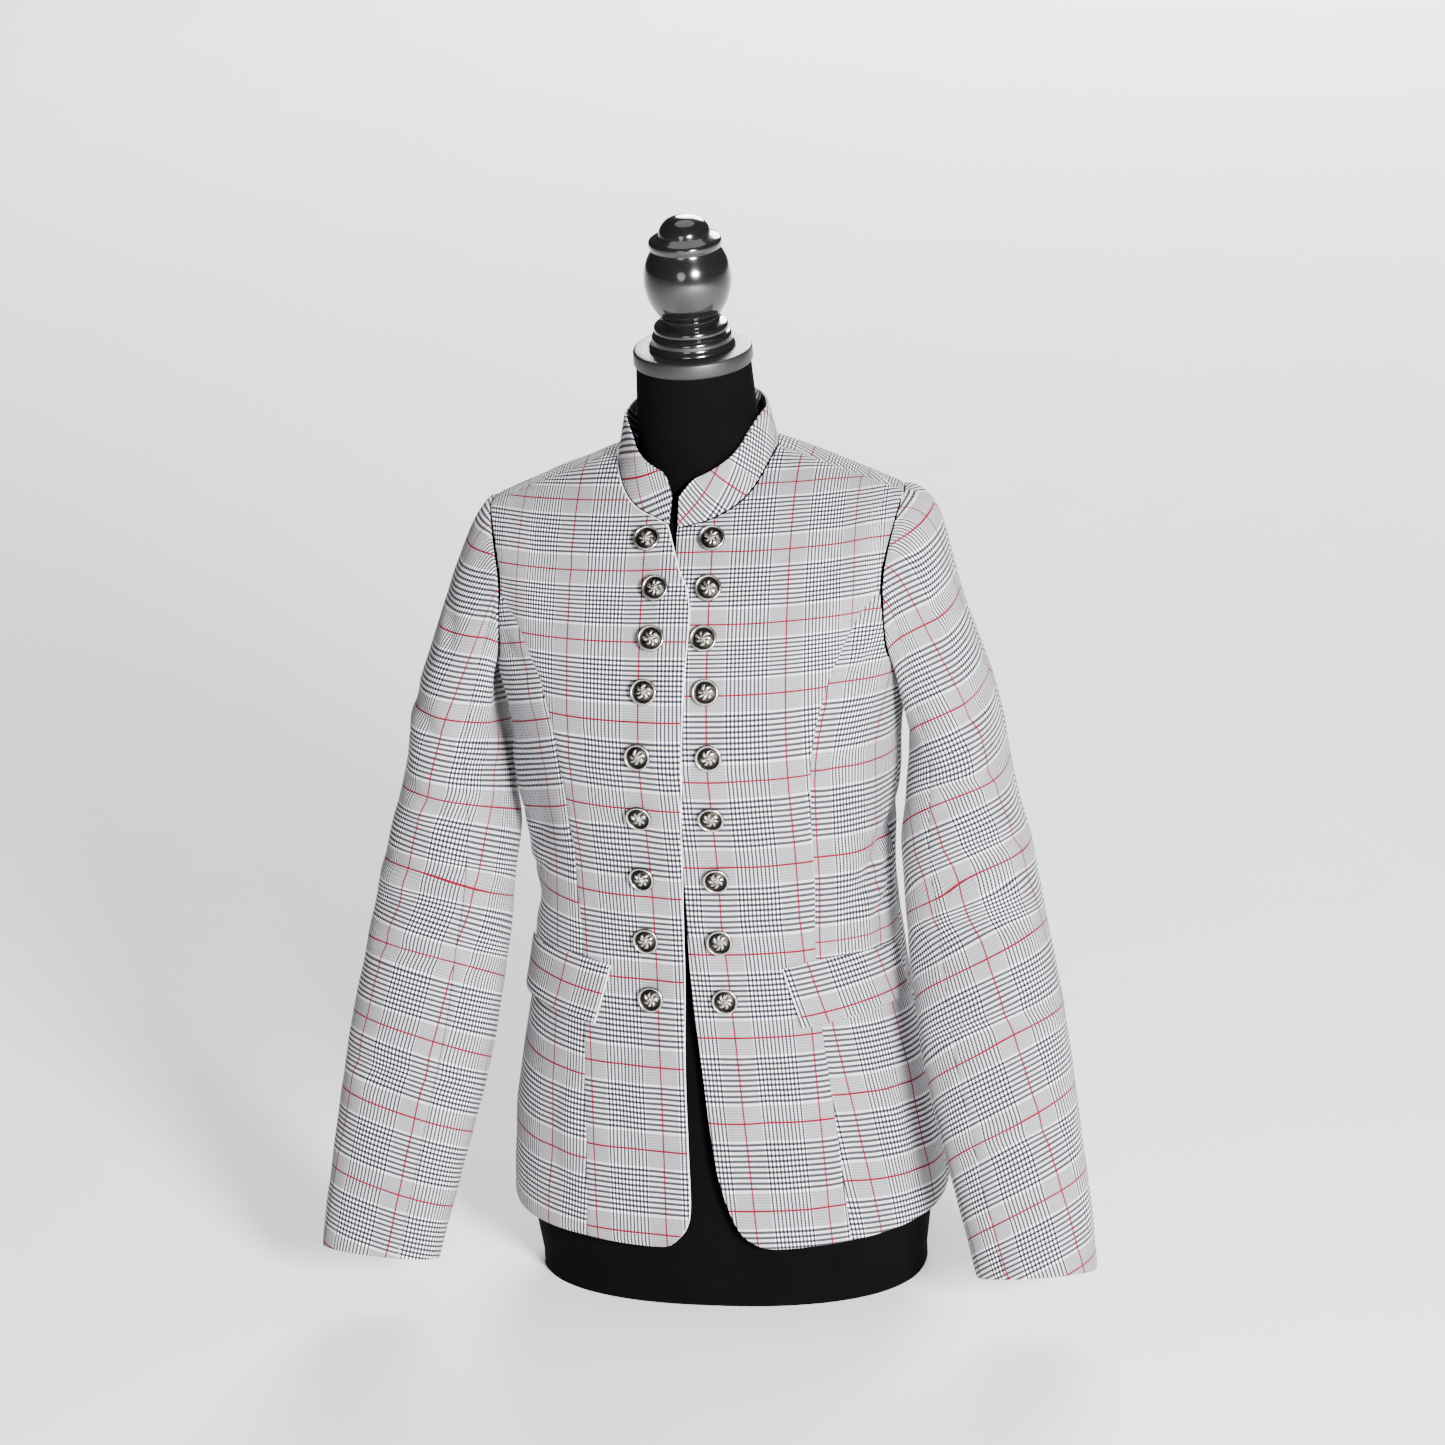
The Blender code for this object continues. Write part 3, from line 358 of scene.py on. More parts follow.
def place(x, z, back=False):
    """The angle and level of points given by their distance from the centre and their height."""
    x, z = np.asarray(x, float), np.asarray(z, float)
    high = np.clip((z - BUST_Z) / (ridge_z(x) - BUST_Z), 0.0, 1.0)
    low = z <= BUST_Z
    level = np.where(low, (z - BUST_Z) / (BUST_Z - HEM_Z), high)
    half_width = np.where(low, along(SECTIONS, z, "half_width"), along(YOKE, high, "half_width", "level"))
    share = np.minimum(np.abs(x) / half_width, 1.0)
    angle = np.sign(x) * np.degrees(np.arcsin(share ** (SQUARENESS / 2)))
    return (180 - angle if back else angle), level


def places(rows, back=False):
    return np.array([place(row.x, row.z, back) for row in rows])

def side_place(z):
    """The place on the side seam at a height."""
    return (90.0, float(place(0.5, z)[1]))


def surface_normals(angle, level, side):
    """Outward directions of the body surface; on the shoulder seam, halfway between front and back."""
    def plain(at, height):
        low, high = at - ANGLE_STEP, at + ANGLE_STEP
        high = np.where((at <= 90) & (high > 90), 90.0, high)
        low = np.where((at > 90) & (low < 90), 90.0, low)
        round_way = bare_points(high, height, side) - bare_points(low, height, side)
        up_way = bare_points(at, height + LEVEL_STEP, side) - bare_points(at, height - LEVEL_STEP, side)
        normal = np.cross(round_way, up_way) * side
        normal[..., 1] = np.where(np.abs(at - 90) < ON_SIDE, 0.0, normal[..., 1])
        return unit(normal)

    angle, level = np.broadcast_arrays(np.asarray(angle, float), np.asarray(level, float))
    below = np.full_like(level, BELOW_SEAM)
    seam = unit(plain(np.minimum(angle, 180 - angle), below) + plain(np.maximum(angle, 180 - angle), below))
    return np.where((level > SEAM_LEVEL)[..., None], seam, plain(angle, np.minimum(level, SEAM_LEVEL)))


def laid(grid, side):
    """Angles and levels of a line or grid of places, their points on the body and the ways out there."""
    angle, level = grid[..., 0], np.minimum(grid[..., 1], 1.0)
    return angle, level, bare_points(angle, level, side), surface_normals(angle, level, side)


def fold_depth(folds, side, turn, scale, z):
    """How far the cloth dips in a table of folds; turn times scale is the distance round, in metres."""
    dip = np.zeros(np.shape(z))
    for fold in folds:
        if fold.side == side:
            dx, dz = (turn - fold.turn) * scale, z - fold.z
            slant = math.radians(fold.slant)
            lengthwise = dx * math.cos(slant) + dz * math.sin(slant)
            across = dz * math.cos(slant) - dx * math.sin(slant)
            dip += fold.depth * bell(across / fold.breadth) * bell(lengthwise / fold.reach)
    return dip


def evenly(line, shares, side):
    """Places at shares of the length of a smooth line through the given ones."""
    line = np.asarray(line, float)
    fine = []
    for i in range(len(line) - 1):
        corners = line[max(i - 1, 0)], line[i], line[i + 1], line[min(i + 2, len(line) - 1)]
        fine += [curve(*corners, s) for s in np.arange(CURVE_STEPS) / CURVE_STEPS]
    fine = np.array(fine + [line[-1]])
    lengths = way_along(bare_points(fine[:, 0], np.minimum(fine[:, 1], 1.0), side), 0)
    at = np.asarray(shares) * lengths[-1]
    return np.stack([np.interp(at, lengths, fine[:, k]) for k in (0, 1)], axis=-1)


def patch(bottom, top, left, right, across, up):
    """Places that fill the four edges of a panel."""
    u, v = across[None, :, None], up[:, None, None]
    return (
        (1 - v) * bottom[None] + v * top[None] + (1 - u) * left[:, None] + u * right[:, None]
        - (1 - u) * (1 - v) * bottom[0] - u * (1 - v) * bottom[-1] - (1 - u) * v * top[0] - u * v * top[-1]
    )


def front_princess(side):
    """The front princess seam, which swings a little towards the wearer's left below the waist."""
    swings = [smooth_step((HEM_SWING_FROM - row.z) / HEM_SWING_BLEND) for row in FRONT_PRINCESS]
    return [Row(row.x + side * HEM_SWING * float(swing), row.z) for row, swing in zip(FRONT_PRINCESS, swings)]


def seam_lines(side):
    """The places along every seam and edge of one half of the blazer."""
    princess = front_princess(side)
    front_edge = LEFT_EDGE if side > 0 else RIGHT_EDGE
    underarm, side_hem = side_place(UNDERARM_Z), side_place(SIDE_HEM_Z[side])
    after_corner = place(front_edge[0].x + HEM_CORNER_LENGTH, HEM_Z)
    neck_side, tip = place(*NECK_SIDE), place(*SHOULDER_TIP)
    back_neck_side, back_tip = place(*NECK_SIDE, back=True), place(*SHOULDER_TIP, back=True)
    front_bend, back_bend = place(*LOWER_ARMHOLE_BEND), place(*LOWER_ARMHOLE_BEND, back=True)
    front_notch, back_notch = place(*princess[-1]), place(*BACK_PRINCESS[-1], back=True)
    back_hem, middle_hem = place(*BACK_PRINCESS[0], back=True), (180.0, -1.0)
    lines = {
        "front_princess": (places(princess), LOWER_STEPS),
        "back_princess": (places(BACK_PRINCESS, back=True), LOWER_STEPS),
        "side": ([side_hem, underarm], LOWER_STEPS),
        "front_armhole": (places(FRONT_ARMHOLE), UPPER_STEPS),
        "back_armhole": (places(BACK_ARMHOLE, back=True), UPPER_STEPS),
        "front_underarm": ([front_notch, front_bend, underarm], SIDE_STEPS),
        "back_underarm": ([underarm, back_bend, back_notch], SIDE_STEPS),
        "front_neck": (places(front_edge[-1:] + FRONT_NECK), UPPER_STEPS),
        "back_neck": (places(BACK_NECK, back=True), UPPER_STEPS),
        "front_edge": (places(front_edge), LOWER_STEPS),
        "centre_back": ([middle_hem, (180.0, float(place(*BACK_NECK[0])[1]))], LOWER_STEPS),
        "front_shoulder": ([neck_side, tip], PANEL_STEPS),
        "back_shoulder": ([back_tip, back_neck_side], PANEL_STEPS),
        "front_hem": ([place(*front_edge[0]), after_corner, place(*princess[0])], PANEL_STEPS),
        "side_front_hem": ([place(*princess[0]), side_hem], SIDE_STEPS),
        "side_back_hem": ([side_hem, back_hem], SIDE_STEPS),
        "back_hem": ([back_hem, middle_hem], PANEL_STEPS),
    }
    return {name: evenly(line, steps(count), side) for name, (line, count) in lines.items()}


def lap_lift(angle, level, side):
    """The right front rises over the left front near the centre."""
    if side > 0:
        return np.zeros(np.shape(angle))
    x = bare_points(angle, level, 1)[..., 0]
    return np.where(np.abs(angle) > 90, 0.0, LAP * smooth_step((LAP_REACH - x) / LAP_BLEND))


# Creases laid one by one: each a soft trough (or ridge, where depth is below 0) from one place to another
Crease = namedtuple("Crease", "side a0 z0 a1 z1 breadth depth")
BODY_CREASES = [
    Crease(1, 88, 0.372, 62, 0.350, 0.006, 0.0016), Crease(1, 86, 0.398, 60, 0.392, 0.006, 0.0014),
    Crease(1, 84, 0.352, 66, 0.326, 0.006, 0.0012), Crease(1, 60, 0.560, 40, 0.530, 0.009, 0.0011),
    Crease(1, 52, 0.470, 20, 0.455, 0.010, 0.0008), Crease(1, 30, 0.610, 12, 0.590, 0.008, 0.0009),
    Crease(1, 24, 0.400, 6, 0.392, 0.008, 0.0008), Crease(1, 40, 0.160, 30, 0.080, 0.010, 0.0012),
    Crease(1, 60, 0.200, 66, 0.090, 0.012, 0.0014), Crease(1, 14, 0.240, 9, 0.120, 0.009, 0.0009),
    Crease(-1, 86, 0.362, 58, 0.372, 0.006, 0.0013), Crease(-1, 84, 0.420, 60, 0.398, 0.006, 0.0012),
    Crease(-1, 58, 0.566, 38, 0.535, 0.009, 0.0011), Crease(-1, 40, 0.640, 18, 0.622, 0.008, 0.0009),
    Crease(-1, 30, 0.500, 8, 0.492, 0.009, 0.0008), Crease(-1, 26, 0.430, 6, 0.418, 0.008, 0.0008),
    Crease(-1, 44, 0.190, 36, 0.080, 0.011, 0.0012), Crease(-1, 16, 0.250, 12, 0.110, 0.010, 0.0008),
    Crease(1, 150, 0.420, 118, 0.400, 0.009, 0.0016), Crease(-1, 152, 0.410, 120, 0.392, 0.009, 0.0016),
    Crease(1, 160, 0.365, 124, 0.342, 0.009, 0.0014), Crease(-1, 158, 0.352, 122, 0.335, 0.009, 0.0014),
    Crease(1, 124, 0.570, 140, 0.520, 0.010, 0.0012), Crease(-1, 124, 0.575, 138, 0.520, 0.010, 0.0012),
    Crease(1, 150, 0.180, 146, 0.080, 0.012, 0.0014), Crease(-1, 148, 0.190, 144, 0.080, 0.012, 0.0014),
    Crease(1, 56, 0.650, 46, 0.570, 0.013, 0.0018), Crease(-1, 56, 0.650, 48, 0.580, 0.013, 0.0014),
    Crease(1, 46, 0.655, 36, 0.590, 0.013, -0.0012), Crease(1, 70, 0.330, 58, 0.250, 0.012, 0.0014),
    Crease(1, 100, 0.450, 100, 0.360, 0.030, -0.0015), Crease(-1, 78, 0.470, 78, 0.360, 0.034, -0.0034),
]
SLEEVE_CREASES = [
    Crease(1, 0.06, 0.600, 0.22, 0.560, 0.007, 0.0016), Crease(1, 0.02, 0.520, 0.24, 0.470, 0.008, 0.0018),
    Crease(1, 0.10, 0.455, 0.30, 0.420, 0.007, 0.0016), Crease(1, 0.04, 0.400, 0.27, 0.372, 0.008, 0.0016),
    Crease(1, 0.12, 0.330, 0.31, 0.345, 0.007, 0.0013), Crease(1, 0.05, 0.270, 0.24, 0.250, 0.008, 0.0012),
    Crease(1, 0.10, 0.180, 0.28, 0.150, 0.008, 0.0010), Crease(1, 0.93, 0.480, 0.72, 0.430, 0.008, 0.0014),
    Crease(1, 0.90, 0.360, 0.70, 0.330, 0.008, 0.0014), Crease(1, 0.92, 0.240, 0.74, 0.215, 0.008, 0.0010),
    Crease(-1, 0.05, 0.590, 0.20, 0.545, 0.007, 0.0014), Crease(-1, 0.03, 0.505, 0.23, 0.480, 0.008, 0.0016),
    Crease(-1, 0.10, 0.440, 0.29, 0.400, 0.007, 0.0016), Crease(-1, 0.05, 0.375, 0.25, 0.350, 0.008, 0.0014),
    Crease(-1, 0.12, 0.310, 0.30, 0.290, 0.007, 0.0012), Crease(-1, 0.06, 0.220, 0.26, 0.190, 0.008, 0.0010),
    Crease(-1, 0.93, 0.490, 0.72, 0.440, 0.008, 0.0014), Crease(-1, 0.90, 0.350, 0.70, 0.335, 0.008, 0.0014),
    Crease(1, 0.47, 0.450, 0.47, 0.360, 0.030, -0.0012), Crease(-1, 0.53, 0.470, 0.53, 0.360, 0.034, -0.0028),
]
CREASE_STRENGTH = 1.6
SEAM_DIP = 0.0008
SEAM_DIP_REACH = 0.0022
# A crease bows by a share of its length, runs past its ends by another and has a low ridge along one side
CREASE_BOW = 0.10
CREASE_PAST = 0.15
CREASE_FADES = (0.35, 0.5)
RIDGE = 0.45
RIDGE_OFF = 1.7
Wave = namedtuple("Wave", "share round up shift")
WAVES = [Wave(0.5, 61, 47, 2.7), Wave(0.5, 61, -47, 0.7), Wave(0.6, 113, 71, 2.3), Wave(0.4, 41, -149, 3.1)]
UNEVENNESS = 0.0004
CALM_EDGE = 0.02


def crease_depth(creases, side, turn, scale, z):
    """How far the cloth dips along the listed creases; turn times scale is the distance round, in metres."""
    dip = np.zeros(np.shape(z))
    for crease in creases:
        if crease.side != side:
            continue
        start = np.array([crease.a0 * scale, crease.z0])
        way = np.array([crease.a1 * scale, crease.z1]) - start
        length = np.linalg.norm(way)
        way = way / length
        dx, dz = turn * scale - start[0], z - start[1]
        lengthwise = (dx * way[0] + dz * way[1]) / length
        bow = CREASE_BOW * length * np.sin(np.pi * np.clip(lengthwise, 0, 1))
        off = (dx * way[1] - dz * way[0] + bow) / crease.breadth
        fade_in = smooth_step((lengthwise + CREASE_PAST) / CREASE_FADES[0])
        fade_out = smooth_step((1 + CREASE_PAST - lengthwise) / CREASE_FADES[1])
        shape = bell(off) - RIDGE * bell(off - RIDGE_OFF)
        dip += CREASE_STRENGTH * crease.depth * fade_in * fade_out * shape
    return dip


def unevenness(x, y, seed):
    """A gentle waviness of the cloth, in metres."""
    return UNEVENNESS * sum(w.share * np.sin(x * w.round + y * w.up + w.shift * seed) for w in WAVES)


def edge_distance(points):
    """Distance of each point of a grid from the nearest edge of its panel."""
    across, up = way_along(points, 1), way_along(points, 0)
    return np.minimum.reduce([across, across[:, -1:] - across, up, up[-1:] - up])


def nearness(distance):
    """What the map named edge says at a distance from a folded edge: 1 on it, 0 from EDGE_REACH on."""
    return np.maximum(1 - distance / EDGE_REACH, 0)


def seam_roll(points, reach=SEAM_DIP_REACH, depth=SEAM_DIP):
    return depth * bell(edge_distance(points) / reach)


def drawn_in(grid, distance):
    """The grid with its four edges moved towards its middle, which leaves the gap at a seam."""
    result = grid.copy()
    result[:, 0] += unit(grid[:, 1] - grid[:, 0]) * distance
    result[:, -1] += unit(grid[:, -2] - grid[:, -1]) * distance
    result[0] += unit(grid[1] - grid[0]) * distance
    result[-1] += unit(grid[-2] - grid[-1]) * distance
    return result


def new_mesh(name, points, faces, material, edges=()):
    mesh = bpy.data.meshes.new(name)
    mesh.from_pydata(points, edges, faces)
    mesh.materials.append(material)
    return mesh


def new_object(name, data):
    thing = bpy.data.objects.new(name, data)
    bpy.context.scene.collection.objects.link(thing)
    return thing


def face_outwards(mesh):
    work = bmesh.new()
    work.from_mesh(mesh)
    bmesh.ops.recalc_face_normals(work, faces=work.faces)
    work.to_mesh(mesh)
    work.free()


def smoothed(mesh, sharp_from):
    mesh.shade_smooth()
    mesh.set_sharp_from_angle(angle=math.radians(sharp_from))


def stand_in(thing, node):
    """Let an object ride on the body and stand for a node, whose own part is hidden."""
    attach(thing, "root")
    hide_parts(node)


def shell(name, outer, inner, cloth, material, node, gap=SEAM_GAP):
    """A cloth wall between two grids of points, closed round its edge, that stands for a node."""
    outer, inner = drawn_in(outer, gap / 2), drawn_in(inner, gap / 2)
    size = outer.shape[0] * outer.shape[1]
    index = np.arange(size).reshape(outer.shape[:2])
    a, b = index[:-1, :-1].ravel(), index[:-1, 1:].ravel()
    c, d = index[1:, 1:].ravel(), index[1:, :-1].ravel()
    rim = np.concatenate([index[0, :-1], index[:-1, -1], index[-1, :0:-1], index[:0:-1, 0]])
    after = np.roll(rim, -1)
    middle = np.arange(len(rim)) + 2 * size
    middle_after = np.roll(middle, -1)
    faces = np.concatenate([
        np.stack([a, b, c, d], 1), np.stack([a, d, c, b], 1) + size,
        np.stack([after, rim, middle, middle_after], 1),
        np.stack([middle_after, middle, rim + size, after + size], 1)])
    outer, inner, cloth = outer.reshape(-1, 3), inner.reshape(-1, 3), cloth.reshape(-1, cloth.shape[-1])
    points = np.concatenate([outer, inner, (outer[rim] + inner[rim]) / 2])
    mesh = new_mesh(name, points.tolist(), faces.tolist(), material)
    add_maps(mesh, np.concatenate([cloth, cloth, cloth[rim]]))
    face_outwards(mesh)
    smoothed(mesh, sharp_from=50)
    thing = new_object(name, mesh)
    stand_in(thing, node)
    return thing


def add_maps(mesh, cloth):
    """The map named cloth and, where a third value is given for each point, the map named edge."""
    corners = np.empty(len(mesh.loops), dtype=np.int32)
    mesh.loops.foreach_get("vertex_index", corners)
    at_corners = cloth[corners].astype(np.float32)
    mesh.uv_layers.new(name="cloth").data.foreach_set("uv", at_corners[:, :2].ravel())
    if cloth.shape[1] > 2:
        mesh.uv_layers.new(name="edge").data.foreach_set("uv", at_corners[:, [2, 2]].ravel())


# Heights of the red weft lines on each front, from the hem up, counted from the second one
RedWeft = namedtuple("RedWeft", "z count")
RED_WEFT_HEIGHTS = {
    -1: (-0.002, 0.072, 0.1436, 0.2151, 0.289, 0.361, 0.4414, 0.515, 0.575, 0.628, 0.685),
    1: (0.020, 0.0942, 0.1689, 0.2414, 0.312, 0.388, 0.4667, 0.5355, 0.5875, 0.6415, 0.694),
}
FRONT_WEFTS = {
    side: [RedWeft(z, count) for count, z in enumerate(heights, start=-1)]
    for side, heights in RED_WEFT_HEIGHTS.items()}
# Where the check lies on a panel: how far a red warp is from the centre line or princess seam, how far it
# leans away from there for each metre below a height, how much higher the wefts are than on the front, how
# much more so under the pocket, and how much they rise towards the side, above and under the waist
Lie = namedtuple("Lie", "red_warp lean lean_z higher below_pocket rise low_rise", defaults=(0.0,) * 4)
CHECK_LIE = {
    "front_right": Lie(0.031, 0.0, 0.34),
    "front_left": Lie(0.024, 0.075, 0.34),
    "side_front_right": Lie(0.018, 0.054, 0.50, -0.0121, 0.0, -0.28, 0.06),
    "side_front_left": Lie(0.004, 0.10, 0.30, 0.0008, 0.016, -0.09, -0.09),
    "side_back_right": Lie(0.040, 0.03, 0.30, 0.015),
    "side_back_left": Lie(0.040, 0.03, 0.30, 0.015),
    "back_right": Lie(0.032, 0.0, 0.34),
    "back_left": Lie(0.032, 0.0, 0.34, -0.020),
}
POCKET_Z = 0.33
POCKET_BLEND = 0.06
SEAM_TURNS_Z = 0.52
RISE_TURNS_Z = 0.44
RISE_BLEND = 0.10
RISE_FROM = 0.024
# Near the side the way round the body grows without end for each step across, so from there it grows evenly
NEAR_SIDE = 0.97
SIDE_SPREAD = 1.3
# Level from which the slope of the shoulder counts, and over how much of a level this begins
SLOPE_FROM = 0.35
SLOPE_BLEND = 0.4
# Sizes of the tables of girths (angles, levels) and of heights of the wefts (columns, levels)
GIRTH_TABLE = (181, 83)
WEFT_TABLE = (61, 321)
LOWEST_LEVEL = -1.05
LAST_CELL = 1.001


def girth(angle, level):
    """Distance round the body from the centre front, along a line of equal level."""
    angles, levels = np.linspace(0, 180, GIRTH_TABLE[0]), np.linspace(LOWEST_LEVEL, 1, GIRTH_TABLE[1])
    arcs = way_along(bare_points(angles[None], levels[:, None], 1, tilted=False), 1)
    return between(arcs, np.abs(angle), angles, level, levels) * np.sign(angle)


def between(table, x, xs, y, ys):
    """Values between those of a table with even columns xs and rows ys."""
    i = np.clip((x - xs[0]) / (xs[1] - xs[0]), 0, len(xs) - LAST_CELL)
    j = np.clip((y - ys[0]) / (ys[1] - ys[0]), 0, len(ys) - LAST_CELL)
    m, n = i.astype(int), j.astype(int)
    s, r = i - m, j - n
    return (
        (1 - s) * (1 - r) * table[n, m] + s * (1 - r) * table[n, m + 1]
        + (1 - s) * r * table[n + 1, m] + s * r * table[n + 1, m + 1])


def weft_heights(x, level, wefts, back):
    """Distance along the cloth of each place; over the shoulder it grows with the slope of the cloth."""
    xs, shares = np.linspace(0, YOKE[-1].half_width, WEFT_TABLE[0]), np.linspace(-1, 1, WEFT_TABLE[1])
    levels = np.where(shares < 0, shares, 1 - (1 - np.abs(shares)) ** 2)
    half = np.where(
        levels <= 0, along(SECTIONS, BUST_Z + levels * (BUST_Z - HEM_Z), "half_width"),
        along(YOKE, np.clip(levels, 0, 1), "half_width", "level"))
    share = np.minimum(xs[None] / half[:, None], 1.0)
    turn = np.degrees(np.arcsin(share ** (SQUARENESS / 2)))
    points = bare_points(180 - turn if back else turn, levels[:, None], 1, tilted=False)
    counts = along(wefts, points[..., 2], "count") * RED_WEFTS_APART
    rise, depth = np.diff(counts, axis=0), np.diff(points[..., 1], axis=0)
    slope = smooth_step((levels[1:, None] - SLOPE_FROM) / SLOPE_BLEND)
    grown = np.sqrt(rise**2 + slope * depth**2)
    table = np.concatenate([counts[:1], counts[:1] + grown.cumsum(axis=0)])
    at = np.where(level < 0, level, 1 - np.sqrt(np.maximum(1 - level, 0.0)))
    return between(table, np.abs(x), xs, at, shares)


def lying_on_side(grid, z, wefts):
    """Distances across from the princess seam and along the cloth, on a side panel."""
    behind = grid[0, 0, 0] >= 90
    seam = -1 if behind else 0
    seam_angle, seam_z = grid[:, seam, 0], z[:, seam]
    turning = np.interp(SEAM_TURNS_Z, seam_z, seam_angle)
    seam_angle = np.where(seam_z > SEAM_TURNS_Z, turning, seam_angle)
    level = np.minimum(grid[..., 1], 1.0)
    from_seam = girth(grid[..., 0], level) - girth(np.interp(z, seam_z, seam_angle), level)
    return (-from_seam if behind else from_seam), along(wefts, z, "count") * RED_WEFTS_APART


def lying_on_middle(x, level, wefts, back):
    """Distances across from the centre line and along the cloth, on a front or back panel."""
    bust = YOKE[0].half_width
    near = np.clip(np.abs(x), 0, NEAR_SIDE * bust)
    round_way = girth(np.degrees(np.arcsin((near / bust) ** (SQUARENESS / 2))), 0.0 * x)
    across = np.sign(x) * (round_way + (np.abs(x) - near) * SIDE_SPREAD)
    return across, weft_heights(x, level, wefts, back)


def panel(node, grid, side, material, kind):
    """One panel of the blazer from its grid of places."""
    angle, level, bare, normals = laid(grid, side)
    z = bare[..., 2]
    dip = fold_depth(BODY_FOLDS, side, angle, DEGREE_LENGTH, z)
    dip = dip + crease_depth(BODY_CREASES, side, angle, DEGREE_LENGTH, z)
    calm = smooth_step(edge_distance(bare) / CALM_EDGE)
    dip = dip + unevenness(bare[..., 0] + bare[..., 1], z, side) * calm
    lift = lap_lift(angle, level, side) - dip
    outer = bare + normals * (lift - seam_roll(bare))[..., None]
    inner = bare + normals * (lift - CLOTH)[..., None]
    flat = bare_points(angle, level, side, tilted=False)
    x, z = flat[..., 0] * side, flat[..., 2]
    if kind == "side":
        across, lengthwise = lying_on_side(grid, z, FRONT_WEFTS[side])
    else:
        across, lengthwise = lying_on_middle(x, level, FRONT_WEFTS[side], kind == "back")
    lie = CHECK_LIE[node]
    red_warp = lie.red_warp + lie.lean * np.maximum(lie.lean_z - z, 0.0)
    higher = lie.higher + lie.below_pocket * smooth_step((POCKET_Z - z) / POCKET_BLEND)
    rise = blend(lie.rise, lie.low_rise, smooth_step((RISE_TURNS_Z - z) / RISE_BLEND))
    lengthwise = lengthwise - rise * (across - RISE_FROM) - higher
    maps = [side * (across - red_warp) + WARP_RED_AT, lengthwise + WEFT_RED_AT]
    # The right front's folded edge gets the painted highlight
    if node == "front_right":
        maps.append(nearness(np.linalg.norm(outer - outer[:, :1], axis=2)))
    return shell(f"cloth_{node}", outer, inner, np.stack(maps, axis=-1), material, node)


Cut = namedtuple("Cut", "width length area")
LOWER_SHARE = 2 / 3


def build_panels(side, word, material):
    lines = seam_lines(side)

    def joined(lower, upper):
        return np.concatenate([lines[lower], lines[upper][1:]])

    narrow, wide, low = steps(SIDE_STEPS), steps(PANEL_STEPS), steps(LOWER_STEPS)
    up = np.concatenate([low * LOWER_SHARE, blend(LOWER_SHARE, 1.0, steps(UPPER_STEPS)[1:])])
    grids = {
        "front": patch(
            lines["front_hem"], lines["front_shoulder"],
            joined("front_edge", "front_neck"), joined("front_princess", "front_armhole"), wide, up),
        "side_front": patch(
            lines["side_front_hem"], lines["front_underarm"], lines["front_princess"], lines["side"],
            narrow, low),
        "side_back": patch(
            lines["side_back_hem"], lines["back_underarm"], lines["side"], lines["back_princess"],
            narrow, low),
        "back": patch(
            lines["back_hem"], lines["back_shoulder"],
            joined("back_princess", "back_armhole"), joined("centre_back", "back_neck"), wide, up),
    }
    for part, grid in grids.items():
        kind = "side" if part.startswith("side") else part
        thing = panel(f"{part}_{word}", grid, side, material, kind)


def armhole_ring(side):
    """The armhole's points from the shoulder tip down the front, under the arm and up the back."""
    upper, narrow = steps(FRONT_SEAM * RING_STEPS), steps((BACK_SEAM - FRONT_SEAM) // 2 * RING_STEPS)
    front, back = places(FRONT_ARMHOLE), places(BACK_ARMHOLE, back=True)
    bend, back_bend = place(*LOWER_ARMHOLE_BEND), place(*LOWER_ARMHOLE_BEND, back=True)
    underarm = side_place(UNDERARM_Z)
    ring = np.concatenate([
        evenly(front, upper, side)[::-1],
        evenly([front[0], bend, underarm], narrow, side)[1:],
        evenly([underarm, back_bend, back[0]], narrow, side)[1:],
        evenly(back, upper, side)[1:-1],
    ])
    return laid(ring, side)[2:]


def arm_ring(z, side, count):
    """A ring of points round the arm at a height, and the arm's way down there."""
    def of(column, height=z):
        return float(along(ARM[::-1], height, column))

    def centre(height):
        return np.array([side * of("x", height), of("y", height), height])

    down = unit(centre(z - ARM_STEP) - centre(z + ARM_STEP))
    sideways = np.array([side, 0.0, 0.0])
    sideways = unit(sideways - down * sideways.dot(down))
    forward = np.cross(down, sideways) * side
    if forward[1] > 0:
        forward = -forward
    start, end = CUFF_SLANT_Z
    slant = CUFF_SLANT * float(smooth_step((start - z) / (start - end)))
    forward = forward * math.cos(slant) - down * math.sin(slant)
    turn = 2 * np.pi * np.arange(count) / count
    a, b = (np.sign(wave) * np.abs(wave) ** (2 / SLEEVE_SQUARENESS) for wave in (np.cos(turn), np.sin(turn)))
    return centre(z) + of("half_x") * a[:, None] * sideways + of("half_y") * b[:, None] * forward, down


def sleeve_surface(side):
    """Rings of points from the armhole to the cuff."""
    points, normals = armhole_ring(side)
    count = len(points)
    end, down = arm_ring(ARM[0].z, side, count)
    outwards = np.array([side, 0, 0])
    over = (0.5 + 0.5 * np.cos(2 * np.pi * np.arange(count) / count))[:, None]
    start = points + outwards * CAP_STAND_OFF - normals * CAP_SINK
    away = np.concatenate([
        side * CAP_REACH * blend(CAP_UNDER_REACH, 1, over), np.zeros_like(over),
        blend(-CAP_UNDER_FALL, CAP_RISE, over)], axis=1)
    drop = down * CAP_DROP * blend(CAP_UNDER_DROP, 1, over)
    rows = []
    for s in np.arange(CAP_STEPS) / CAP_STEPS:
        puff = CAP_PUFF[side] * s / CAP_PUFF_AT * math.exp(0.5 - 0.5 * (s / CAP_PUFF_AT) ** 2)
        rows.append(hermite(s, start, away, end, drop) + puff * over**2 * outwards)
    for share in steps(TUBE_STEPS):
        rows.append(arm_ring(blend(ARM[0].z, ARM[-1].z, share), side, count)[0])
    return np.array(rows)


